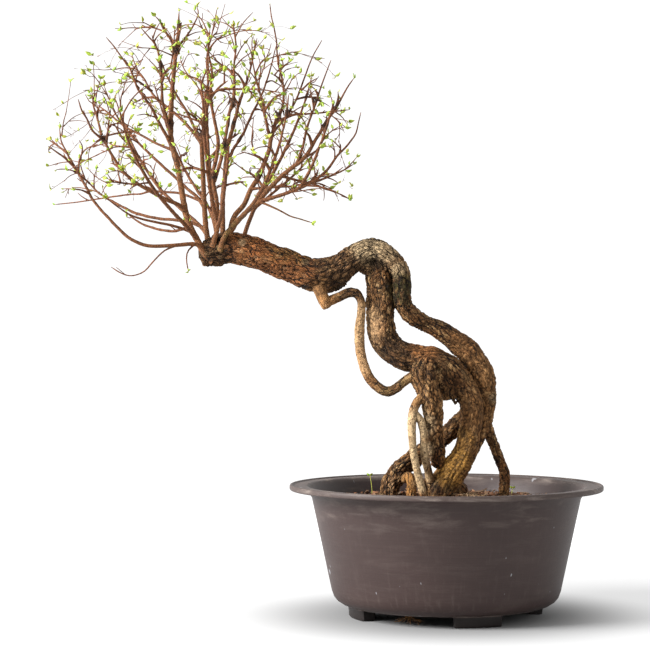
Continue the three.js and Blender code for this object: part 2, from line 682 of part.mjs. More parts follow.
function tuftSolid() {
  const [x, y] = drainCentre(2);
  const tuft = new THREE.CylinderGeometry(drainRadius - 1.4, 3, baseThickness + 9, 8);
  return solidOf(tuft.rotateX(Math.PI / 2).translate(x, y, baseHeight + baseThickness - 3.5));
}

// Trunk and roots
const buriedRoots = [
  'mainRoot', 'crossingRoot', 'paleRootLeft', 'paleRootRight', 'orangeRoot', 'rightRoot', 'baseMass',
];

// Slow lobes round a limb give it the knotted outline of old wood
function knotted(rings, seed, depth) {
  const draw = makeDraw(seed);
  const shift = draw() * 6;
  const turn = draw() * 6;
  return (angle, i) => {
    const along = rings[i].along * rings.length * 0.45;
    const lobes = Math.sin(3 * angle + shift + along);
    const flats = Math.sin(2 * angle - turn - 1.7 * along);
    return 1 + depth * lobes + depth * 0.6 * flats;
  };
}

function woodSolid(name, grow = 0) {
  const path = pathOf(trunkRoutes[name]);
  const thick = Math.max(...path.radii) > thickWood;
  const rings = stepsAlong(path, thick ? trunkStep : trunkStep * 0.85);
  const seed = 100 + name.length * 7 + path.points.length;
  const outline = knotted(rings, seed, thick ? thickLobes : thinLobes);
  rings.forEach((ring) => {
    ring.radius += grow;
  });
  return solidOf(tube(rings, thick ? trunkSides : thinSides, outline));
}

// Shoots
const sidesOf = (radius) => (radius > 2.7 ? 5 : 4);
const limbRings = (path) => stepsAlong(path, limbStep);

const limbSolid = (path) => solidOf(tube(limbRings(path), sidesOf(path.radii[0])));

// A limb as short straight stretches, to keep shoots clear of each other
function stretchesOf(path, owner, step) {
  const rings = stepsAlong(path, step);
  return rings.slice(1).map((ring, i) => ({
    owner,
    a: rings[i].centre,
    b: ring.centre,
    radius: Math.max(rings[i].radius, ring.radius),
  }));
}

function stretchDistance(p, q) {
  const u = q.b.clone().sub(q.a);
  const v = p.b.clone().sub(p.a);
  const w = q.a.clone().sub(p.a);
  const a = u.dot(u);
  const b = u.dot(v);
  const c = v.dot(v);
  const d = u.dot(w);
  const e = v.dot(w);
  const clamp = (value) => Math.min(1, Math.max(0, value));
  let s = a * c - b * b > 1e-9 ? clamp((b * e - c * d) / (a * c - b * b)) : 0;
  const t = clamp((b * s + e) / c);
  s = clamp((b * t - d) / a);
  return w.addScaledVector(u, s).addScaledVector(v, -t).length();
}

function isClear(stretches, taken) {
  return stretches.every((mine) => taken.every((other) => other.owner === mine.owner
    || Math.abs(mine.a.z - other.a.z) > 40
    || stretchDistance(mine, other) > mine.radius + other.radius + twigClearance));
}

// Where new wood can start: points on the straight runs between a limb's rings
function budsOf(path, owner, step, from) {
  const rings = stepsAlong(path, step);
  const buds = [];
  for (let i = 0; i + 1 < rings.length; i += 1) {
    const tangent = rings[i + 1].centre.clone().sub(rings[i].centre).normalize();
    for (let k = 0; k < budsPerRun; k += 1) {
      const part = k / budsPerRun;
      const along = rings[i].along + (rings[i + 1].along - rings[i].along) * part;
      if (along >= from) {
        buds.push({
          owner,
          tangent,
          point: rings[i].centre.clone().lerp(rings[i + 1].centre, part),
          radius: rings[i].radius + (rings[i + 1].radius - rings[i].radius) * part,
        });
      }
    }
  }
  return buds;
}

// The aims of new wood: even over the dome of the crown, out to its furthest tips
function crownAims(count, reach, spread, draw) {
  const aims = [];
  const turn = Math.PI * (3 - Math.sqrt(5));
  for (let i = 0; i < count; i += 1) {
    const up = 1 - ((1 - crownFloor) * (i + 0.5)) / count;
    const angle = i * turn + 0.5 * draw();
    const size = reach - spread * draw();
    const flat = Math.sqrt(1 - up * up);
    aims.push(new THREE.Vector3(
      crownCentre[0] + crownRadii[0] * size * flat * Math.cos(angle),
      crownCentre[2] + crownRadii[2] * size * flat * Math.sin(angle),
      crownCentre[1] + crownRadii[1] * size * up,
    ));
  }
  return aims;
}

// New wood from the nearest bud that points towards the aim
function reachFor(aim, buds, taken, thickness, bow) {
  const rated = [];
  buds.forEach((bud) => {
    const way = aim.clone().sub(bud.point);
    const distance = way.length();
    const forward = way.dot(bud.tangent) / distance;
    if (!bud.used && distance > 9 && forward > 0.35) {
      rated.push({ bud, rate: distance * (1.6 - 0.6 * forward) });
    }
  });
  rated.sort((one, other) => one.rate - other.rate);
  for (const { bud } of rated.slice(0, 6)) {
    const way = aim.clone().sub(bud.point);
    const middle = bud.point.clone().addScaledVector(way, 0.5);
    middle.addScaledVector(bud.tangent, way.length() * bow);
    const start = Math.min(thickness, bud.radius * 0.85);
    const path = { points: [bud.point.clone(), middle, aim], radii: [start, start * 0.85, start * 0.65] };
    const stretches = stretchesOf(path, bud.owner, twigStep);
    if (isClear(stretches, taken)) {
      buds.filter((other) => other.point.distanceTo(bud.point) < budSpacing).forEach((other) => {
        other.used = true;
      });
      return { owner: bud.owner, path, stretches };
    }
  }
  return null;
}

function twigSolid(path, leafy) {
  const rings = stepsAlong(path, twigStep);
  const last = rings[rings.length - 1];
  if (leafy) {
    const leaf = rings.length - 1;
    const neck = { ...rings[leaf], centre: last.centre.clone().addScaledVector(last.tangent, -leafLength) };
    const blade = {
      ...last,
      centre: last.centre.clone().addScaledVector(last.tangent, -leafLength * 0.55),
      width: leafWidth / 1.5,
      thickness: leafThickness / 1.73,
    };
    rings.splice(leaf, 1, neck, blade);
    rings.push({ ...last });
  }
  rings[rings.length - 1].radius = 0;
  return solidOf(tube(rings, 3));
}

const trunkEnd = place(trunkRoutes.trunkAndOuterRoot[0]);
const limbPaths = [];
for (const [owner, routes] of Object.entries(shootRoutes)) {
  for (const [part, route] of Object.entries(routes)) {
    limbPaths.push({ owner, part, path: pathOf(route) });
  }
}

// The start of a limb, wider by the gap, which makes its socket in the trunk
function socketFor({ path }) {
  const rings = limbRings(path);
  const near = rings.filter((ring) => ring.centre.distanceTo(trunkEnd) < socketReach).length;
  if (near === 0) {
    return null;
  }
  const start = rings.slice(0, near + 1).map((ring) => ({ ...ring, radius: ring.radius + gap }));
  start[0] = { ...start[0], centre: start[0].centre.clone().addScaledVector(start[0].tangent, -gap) };
  return solidOf(tube(start, sidesOf(path.radii[0])));
}

function growCrown() {
  const draw = makeDraw(crownSeed);
  const taken = [];
  const buds = [];
  const twigs = [];
  Object.keys(trunkRoutes).forEach((name) => {
    taken.push(...stretchesOf(pathOf(trunkRoutes[name]), 'trunk', trunkStep));
  });
  limbPaths.forEach(({ owner, part, path }) => {
    taken.push(...stretchesOf(path, owner, limbStep));
    buds.push(...budsOf(path, owner, limbStep, part === 'stem' ? 0.4 : 0.25));
  });
  const grow = (aims, thickness, bow, leafy) => {
    aims.forEach((aim) => {
      const chance = draw();
      const found = reachFor(aim, buds, taken, thickness, bow);
      if (found) {
        taken.push(...found.stretches);
        buds.push(...budsOf(found.path, found.owner, twigStep, 0.3));
        twigs.push({ ...found, leafy: leafy && chance < leafShare });
      }
    });
  };
  grow(crownAims(boughCount, 0.84, 0.26, draw), boughRadius, 0.1, false);
  grow(crownAims(twigCount, 1, 0.16, draw), twigRadius, 0.08, true);
  return twigs;
}

function shootSolid(owner, twigs) {
  const limbs = limbPaths.filter((limb) => limb.owner === owner);
  const parts = limbs.map(({ path }) => limbSolid(path));
  twigs.filter((twig) => twig.owner === owner).forEach((twig) => {
    parts.push(twigSolid(twig.path, twig.leafy));
  });
  return largestBody(join(parts));
}

function trunkSolid() {
  const wood = join(Object.keys(trunkRoutes).map((name) => woodSolid(name)));
  const sockets = limbPaths.map(socketFor).filter((socket) => socket !== null);
  return largestBody(wood.subtract(join(sockets)));
}

function seedlingSolid({ x, y, height, lean, spread }) {
  const foot = new THREE.Vector3(x, y, soilTop(x, y) - seedlingSink);
  const tip = new THREE.Vector3(x + lean, y, soilTop(x, y) + height);
  const middle = foot.clone().lerp(tip, 0.55).add(new THREE.Vector3(-lean * 0.3, 0, 0));
  const stem = { points: [foot, middle, tip], radii: [seedlingRadius, seedlingRadius, seedlingRadius] };
  const parts = [solidOf(tube(stepsAlong(stem, 12), 5))];
  [-1, 1].forEach((side) => {
    const out = new THREE.Vector3(side * spread, side * 0.8, spread * 0.55);
    const root = tip.clone().addScaledVector(out, -0.2);
    const blade = {
      points: [root, root.clone().addScaledVector(out, 0.6), root.clone().addScaledVector(out, 1.2)],
      radii: [seedlingRadius, seedlingRadius, seedlingRadius],
    };
    const rings = stepsAlong(blade, spread * 0.5);
    rings.forEach((ring) => {
      ring.width = 0.5 + seedlingBlade * Math.sin(ring.along * Math.PI);
      ring.thickness = leafThickness / 2;
    });
    rings[rings.length - 1].radius = 0;
    parts.push(solidOf(tube(rings, 4)));
  });
  return join(parts);
}

function seedlingHole({ x, y }) {
  const top = soilTop(x, y);
  return uprightTube(x, y, top - seedlingSink - gap, top + 6, seedlingRadius + 2 * gap, 8);
}

const colours = {
  pot: { color: 0x66544f, roughness: 0.55, metalness: 0 },
  soil: { color: 0x5b4030, roughness: 0.95, metalness: 0 },
  trunk: { color: 0x7d6044, roughness: 0.85, metalness: 0 },
  shoot: { color: 0x7a4d35, roughness: 0.7, metalness: 0 },
  leaf: { color: 0x86b83a, roughness: 0.6, metalness: 0 },
};

const group = new THREE.Group();

function addNode(name, solid, finish) {
  const mesh = new THREE.Mesh(geometryOf(solid), new THREE.MeshStandardMaterial(colours[finish]));
  mesh.name = name;
  group.add(mesh);
}

const twigs = growCrown();
const rootHoles = join(buriedRoots.map((name) => woodSolid(name, gap)));
const seedlingHoles = join(seedlings.map(seedlingHole));
const soil = join([soilSolid(), ...lumpSolids(), tuftSolid()]).subtract(rootHoles).subtract(seedlingHoles);

addNode('pot', potSolid(), 'pot');
addNode('soil', largestBody(soil), 'soil');
addNode('trunk_and_roots', trunkSolid(), 'trunk');
Object.keys(shootRoutes).forEach((owner) => {
  addNode(owner, shootSolid(owner, twigs), 'shoot');
});
seedlings.forEach((seedling, i) => {
  addNode(`seedling_${i + 1}`, seedlingSolid(seedling), 'leaf');
});

// The origin is on the floor, under the middle of the whole object's box
const box = new THREE.Box3().setFromObject(group);
const middle = box.getCenter(new THREE.Vector3());
group.position.set(-middle.x, -middle.y, -box.min.z);

export default group;
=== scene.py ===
import math

import bpy
import numpy as np
from mathutils import Euler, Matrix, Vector, noise
from mathutils.kdtree import KDTree


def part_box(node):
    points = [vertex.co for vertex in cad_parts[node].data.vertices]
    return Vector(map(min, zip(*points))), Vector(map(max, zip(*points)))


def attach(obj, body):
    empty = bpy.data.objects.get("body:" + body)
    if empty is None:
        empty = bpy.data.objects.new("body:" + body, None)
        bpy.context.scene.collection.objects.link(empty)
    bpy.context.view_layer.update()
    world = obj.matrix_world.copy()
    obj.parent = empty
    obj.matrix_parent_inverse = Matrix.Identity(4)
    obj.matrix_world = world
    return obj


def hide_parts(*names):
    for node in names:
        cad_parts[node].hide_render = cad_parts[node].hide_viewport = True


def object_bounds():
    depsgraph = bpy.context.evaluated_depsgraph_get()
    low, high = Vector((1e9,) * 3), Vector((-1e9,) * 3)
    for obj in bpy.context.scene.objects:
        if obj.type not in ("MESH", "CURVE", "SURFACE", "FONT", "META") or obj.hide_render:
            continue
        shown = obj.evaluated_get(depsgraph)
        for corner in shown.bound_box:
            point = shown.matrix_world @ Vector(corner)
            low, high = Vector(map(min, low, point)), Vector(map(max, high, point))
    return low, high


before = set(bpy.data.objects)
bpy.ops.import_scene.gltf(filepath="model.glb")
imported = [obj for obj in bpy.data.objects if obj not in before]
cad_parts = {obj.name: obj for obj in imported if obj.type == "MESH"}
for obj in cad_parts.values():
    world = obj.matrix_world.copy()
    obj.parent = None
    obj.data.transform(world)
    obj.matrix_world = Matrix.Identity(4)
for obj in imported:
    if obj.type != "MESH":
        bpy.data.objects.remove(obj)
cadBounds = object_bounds()
bpy.ops.object.select_all(action="DESELECT")
print("frame loaded with", len(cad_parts), "nodes")

mm = 0.001
potLow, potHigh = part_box("pot")
potAxis = Vector(((potLow.x + potHigh.x) / 2, (potLow.y + potHigh.y) / 2, 0))

# Where the eye stands, from the pot's axis, in millimetres
eye = {"distance": 2120, "height": 290, "side": -121, "lens": 117.4, "sensor": 36}

bpy.ops.object.camera_add(
    location=(potAxis.x + eye["side"] * mm, -eye["distance"] * mm, eye["height"] * mm),
    rotation=(math.pi / 2, 0, 0),
)
camera = bpy.context.object
camera.data.lens = eye["lens"]
camera.data.sensor_width = eye["sensor"]
bpy.context.scene.camera = camera


# Shader maths: a value wraps a socket, and arithmetic on it adds Math nodes
class Value:
    def __init__(self, shade, socket):
        self.shade = shade
        self.socket = socket

    def maths(self, operation, *others):
        values = dict(enumerate((self, *others)))
        return self.shade.node("Math", {"operation": operation}, values)

    def __add__(self, other):
        return self.maths("ADD", other)

    def __sub__(self, other):
        return self.maths("SUBTRACT", other)

    def __rsub__(self, other):
        return self.shade.node("Math", {"operation": "SUBTRACT"}, {0: other, 1: self})

    def __mul__(self, other):
        return self.maths("MULTIPLY", other)

    def over(self, low, high):
        return self.shade.node("MapRange", {"interpolation_type": "SMOOTHSTEP"}, {
            "Value": self, "From Min": low, "From Max": high,
        })

    def clipped(self):
        return self.shade.node("Clamp", {}, {"Value": self})

    __radd__ = __add__
    __rmul__ = __mul__


# One material, whose nodes are added by node() with their settings first and their sockets after
class Shade:
    def __init__(self, name, family=bpy.data.materials, surface="Principled BSDF"):
        self.material = family.new(name)
        self.material.use_nodes = True
        self.tree = self.material.node_tree
        self.surface = self.tree.nodes[surface]

    def node(self, kind, settings, values, out=0):
        made = self.tree.nodes.new("ShaderNode" + kind)
        for key, value in settings.items():
            setattr(made, key, value)
        self.feed(made, values)
        return Value(self, made.outputs[out])

    def feed(self, made, values):
        for key, value in values.items():
            socket = made.inputs[key]
            if isinstance(value, Value):
                self.tree.links.new(value.socket, socket)
            elif isinstance(value, tuple) and socket.type == "RGBA":
                socket.default_value = (*linear(value), 1)
            else:
                socket.default_value = value

    def place(self):
        return self.node("TexCoord", {}, {}, "Object")

    def spread(self, stretch, shift=(0, 0, 0)):
        return self.node("Mapping", {}, {"Vector": self.place(), "Scale": stretch, "Location": shift})

    def grain(self, scale, detail=4, roughness=0.55, where=None, twist=0):
        return self.node("TexNoise", {}, {
            "Vector": where or self.place(), "Scale": scale, "Detail": detail,
            "Roughness": roughness, "Distortion": twist,
        }, "Fac")

    # Random values by cell, and how near the edge of its cell a point lies, with cells bent by noise
    def cells(self, scale, bend, where=None):
        start = where or self.place()
        push = self.node("TexNoise", {}, {"Vector": start, "Scale": scale * 0.7, "Detail": 2}, "Color")
        centred = self.node("VectorMath", {"operation": "SUBTRACT"}, {0: push, 1: (0.5, 0.5, 0.5)})
        bent = self.node("VectorMath", {"operation": "MULTIPLY_ADD"}, {
            0: centred, 1: (bend,) * 3, 2: start,
        })
        values = {"Vector": bent, "Scale": scale}
        return (self.node("TexVoronoi", {"feature": "F1"}, values, "Color"),
                self.node("TexVoronoi", {"feature": "DISTANCE_TO_EDGE"}, values))

    def painted(self, name):
        return self.node("Attribute", {"attribute_name": name}, {}, "Fac")

    # Colours of a look laid over its first one, each by its share
    def layered(self, look, first, *layers):
        colour = look[first]
        for name, share in layers:
            colour = self.node("Mix", {"data_type": "RGBA"}, {0: share, 6: colour, 7: look[name]}, 2)
        return colour

    def relief(self, height, depth, strength):
        return self.node("Bump", {}, {"Height": height, "Distance": depth, "Strength": strength})

    def surfaced(self, values):
        self.feed(self.surface, values)
        return self


# A colour as read off a screen, in the linear values that shaders take
def linear(colour):
    return [((c / 255 + 0.055) / 1.055) ** 2.4 if c > 10 else c / 255 / 12.92 for c in colour]


def finished(piece, name, shade, slot, *nodes):
    piece.name = piece.data.name = name
    piece.data.materials.clear()
    piece.data.materials.append(shade.material)
    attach(piece, "root")
    if nodes:
        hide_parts(*nodes)
    piece.select_set(False)
    print(name, "has", len(piece.data.polygons), "faces")


def alone(piece):
    bpy.ops.object.select_all(action="DESELECT")
    piece.select_set(True)
    bpy.context.view_layer.objects.active = piece


def joined(pieces):
    alone(pieces[0])
    for piece in pieces[1:]:
        piece.select_set(True)
    if len(pieces) > 1:
        bpy.ops.object.join()
    return bpy.context.object


def smoothed(piece, degrees=None):
    alone(piece)
    if degrees:
        bpy.ops.object.shade_smooth_by_angle(angle=math.radians(degrees))
    else:
        bpy.ops.object.shade_smooth()
    return piece


# A point seen from the front, carried back along the line of sight to its depth
def placed(points):
    points = np.array(points, float)
    spread = 1 + points[:, 2] / eye["distance"]
    return np.stack([
        eye["side"] + (points[:, 0] - eye["side"]) * spread,
        points[:, 2],
        eye["height"] + (points[:, 1] - eye["height"]) * spread,
    ], 1)


# The same points as they look from the front, at the depth of the pot's axis
def seen(points):
    spread = 1 + points[:, 1] / eye["distance"]
    return np.stack([
        eye["side"] + (points[:, 0] - eye["side"]) / spread,
        eye["height"] + (points[:, 2] - eye["height"]) / spread,
        points[:, 1],
    ], 1)


def inFrame(points):
    return np.asarray(points, float) * mm + np.array(potAxis)


def fromFrame(points):
    return (np.asarray(points, float) - np.array(potAxis)) / mm


def readFrom(items, key, width=3, kind=np.float32):
    values = np.zeros(len(items) * width, kind)
    items.foreach_get(key, values)
    return values.reshape(-1, width)


def verticesOf(piece):
    return readFrom(piece.data.vertices, "co").astype(float)


def moveVertices(piece, points):
    piece.data.vertices.foreach_set("co", np.asarray(points, np.float32).ravel())
    piece.data.update()


def normalsOf(piece):
    return readFrom(piece.data.vertex_normals, "vector").astype(float)


def paint(piece, name, values):
    layer = piece.data.attributes.new(name, "FLOAT", "POINT")
    layer.data.foreach_set("value", np.broadcast_to(values, len(layer.data)).astype(np.float32))


def unit(way):
    return way / np.linalg.norm(way)


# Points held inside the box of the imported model
def held(points, margin):
    low, high = (fromFrame(corner) for corner in cadBounds)
    return np.clip(points, low + margin, high - margin)


# One mesh of many placed copies of a small shape
def gathered(name, form, copies):
    count = copies.shape[1]
    faces = [tuple(v + i * count for v in face.vertices)
             for i in range(len(copies)) for face in form.data.polygons]
    mesh = bpy.data.meshes.new(name)
    mesh.from_pydata(inFrame(copies.reshape(-1, 3)).tolist(), [], faces)
    piece = bpy.data.objects.new(name, mesh)
    bpy.context.scene.collection.objects.link(piece)
    return piece


# A seeded draw from 0 to 1
def makeDraw(seed):
    state = [seed]

    def draw():
        state[0] = state[0] * 16807 % 2147483647
        return state[0] / 2147483647

    return draw


def pathOf(route):
    return placed([point[:3] for point in route]), np.array([point[3] / 2 for point in route])


# Even steps along a smooth curve through a path's points, with the radius at each
def stepsAlong(path, step, fewest=2):
    points, radii = path
    last = len(points) - 1
    guides = np.vstack([2 * points[0] - points[1], points, 2 * points[-1] - points[-2]])

    def curve(t):
        i = np.minimum(np.floor(t * last).astype(int), last - 1)
        part = (t * last - i)[:, None]
        before, start, end, after = (guides[i + k] for k in range(4))
        leave, arrive = (end - before) / 2, (after - start) / 2
        bend = 3 * (end - start) - 2 * leave - arrive
        return start + leave * part + bend * part ** 2 + (2 * (start - end) + leave + arrive) * part ** 3

    fine = np.linspace(0, 1, 201)
    lengths = np.linalg.norm(np.diff(curve(fine), axis=0), axis=1)
    reached = np.concatenate([[0], np.cumsum(lengths)])
    count = max(fewest, math.floor(reached[-1] / step + 0.5))
    t = np.interp(np.linspace(0, reached[-1], count + 1), reached, fine)
    return curve(t), np.interp(t * last, np.arange(last + 1), radii)


# Round tubes along strands of centres and radii, drawn as one curve and turned into a mesh
def tubes(name, strands, roundness):
    bpy.ops.object.add(type="CURVE", location=(0, 0, 0))
    drawn = bpy.context.object
    drawn.name = name
    drawn.data.dimensions = "3D"
    drawn.data.bevel_depth = mm
    drawn.data.bevel_resolution = roundness
    drawn.data.use_fill_caps = True
    for centres, radii in strands:
        spline = drawn.data.splines.new("POLY")
        spline.points.add(len(centres) - 1)
        places = np.ones((len(centres), 4))
        places[:, :3] = inFrame(centres)
        spline.points.foreach_set("co", places.ravel())
        spline.points.foreach_set("radius", radii)
    bpy.ops.object.convert(target="MESH")
    return bpy.context.object


# Routes as read from the front: (x from the pot's axis, height, depth, diameter), in millimetres
trunkRoutes = {
    "trunkAndOuterRoot": [(-240, 361, 0, 24), (-232, 364, 0, 29), (-210, 367, -1, 31), (-178, 357, -2, 29),
        (-151, 347, -3, 29), (-132, 340, -3, 33), (-114, 343, -2, 30), (-100, 351, -3, 27),
        (-86, 361, -4, 23), (-73, 365.5, -5, 20.5), (-60, 361, -7, 19), (-50, 351.5, -8, 18),
        (-44, 339, -8, 17.5), (-43.5, 325, -7, 17), (-43, 311, -5, 17), (-35, 300, -2, 17),
        (-22, 293, 2, 16), (-6, 284, 6, 18), (9, 274, 10, 21), (22, 263, 13, 24), (32, 249, 14, 25),
        (38, 234, 13, 23), (41, 219, 12, 18), (41, 204, 10, 14), (38, 189, 7, 12), (33, 176, 4, 11),
        (27, 164, 0, 10)],
    "mainRoot": [(-67, 353, 4, 25), (-66, 333, 4, 28), (-65.5, 312, 3, 28), (-65.5, 292, 1, 27),
        (-63, 277, 0, 27), (-54, 265, -1, 27), (-40, 258, -3, 27), (-25, 255, -3, 26), (-10, 253, -1, 28),
        (3, 245, 1, 28), (14, 232, 2, 26), (23, 217, 1, 24), (26, 200, -1, 22), (24, 183, -4, 21),
        (20, 167, -7, 22), (13, 153, -9, 24), (4, 139, -11, 27), (-5, 125, -12, 28), (-8, 107, -12, 24)],
    "kneeRoot": [(-18, 252, -7, 20), (-23, 241, -17, 25), (-18.5, 227, -22, 23), (-14.5, 213, -23, 20),
        (-12.5, 197, -22, 18), (-11.5, 182, -20, 16.5), (-9.5, 168, -18, 16), (-8.5, 157, -17, 14),
        (-10, 148, -16, 9)],
    "web": [(-8, 247, -5, 24), (1, 231, -2, 23), (4, 216, -1, 15)],
    "webRoot": [(-8, 239, -16, 6), (-2, 228, -13, 3.5), (4, 219, -8, 3.5), (10, 211, -4, 4)],
    "crossingRoot": [(24, 206, 3, 13), (16, 195, 12, 16), (3, 182, 16, 17), (-15, 168, 14, 18),
        (-32, 156, 9, 18), (-46, 144, 5, 19), (-55, 131, 2, 19), (-58, 112, 1, 16)],
    "paleRootLeft": [(-22, 221, -25, 10), (-31, 209, -30, 8.5), (-34, 196, -32, 8), (-34, 180, -33, 7.5),
        (-33, 166, -34, 7), (-31, 153, -35, 7), (-27.5, 139, -36, 7.5), (-24, 125, -37, 8),
        (-22, 109, -37, 7)],
    "paleRootRight": [(-31, 201, -31, 7), (-25, 194, -30, 7.5), (-22.5, 182, -30, 7.2),
        (-22, 169, -29, 7.2), (-20.5, 156, -27, 8), (-18, 144, -23, 8), (-15, 131, -17, 8)],
    "orangeRoot": [(-42, 135, -3, 8), (-37, 139, -12, 9), (-34.5, 131, -19, 9), (-35, 119, -22, 10),
        (-35, 108, -22, 8)],
    "rightRoot": [(38, 196, 8, 10), (42, 186, 10, 10), (46, 175, 13, 10.5), (50, 164, 16, 10.5),
        (53.5, 154, 18, 10), (58, 144, 20, 10), (59, 132, 21, 11), (57.5, 118, 22, 12), (57, 107, 22, 10)],
    "baseMass": [(-22, 131, -6, 18), (-7, 125, -4, 30), (7, 124, -1, 28), (18, 121, 2, 16)],
    "cutStub": [(-130, 339, -7, 13), (-126, 325, -12, 12), (-121, 312, -15, 10.5), (-119, 307, -16, 8.5)],
    "loopRoot": [(-120, 312, -14, 9), (-107, 318, -10, 9.5), (-97, 322.5, -9, 9), (-89, 321, -9, 9),
        (-85, 313, -9, 8.5), (-85, 300, -9, 8.5), (-86.5, 284, -8, 9.5), (-86, 267, -8, 9.5),
        (-82.5, 251, -9, 9), (-76.5, 237.5, -12, 9.5), (-68, 228, -15, 10), (-59, 223.5, -18, 10),
        (-50, 226.5, -20, 9.5), (-41, 234, -21, 9), (-31, 241, -19, 9)],
    "shadedJunctionWood": [(-130, 334, 4, 20), (-116, 331, 3, 19), (-103, 336, 2, 13)],
    "endKnob": [(-243, 372, 4, 9), (-240, 364, 2, 19), (-235, 353, -1, 15)],
    "kneeKnob": [(-86, 352, -1, 10), (-79, 349, 0, 19), (-72, 352, 1, 14)],
    "elbowKnob": [(32, 223, 6, 8), (44, 220, 8, 13), (49, 218, 8, 8)],
}

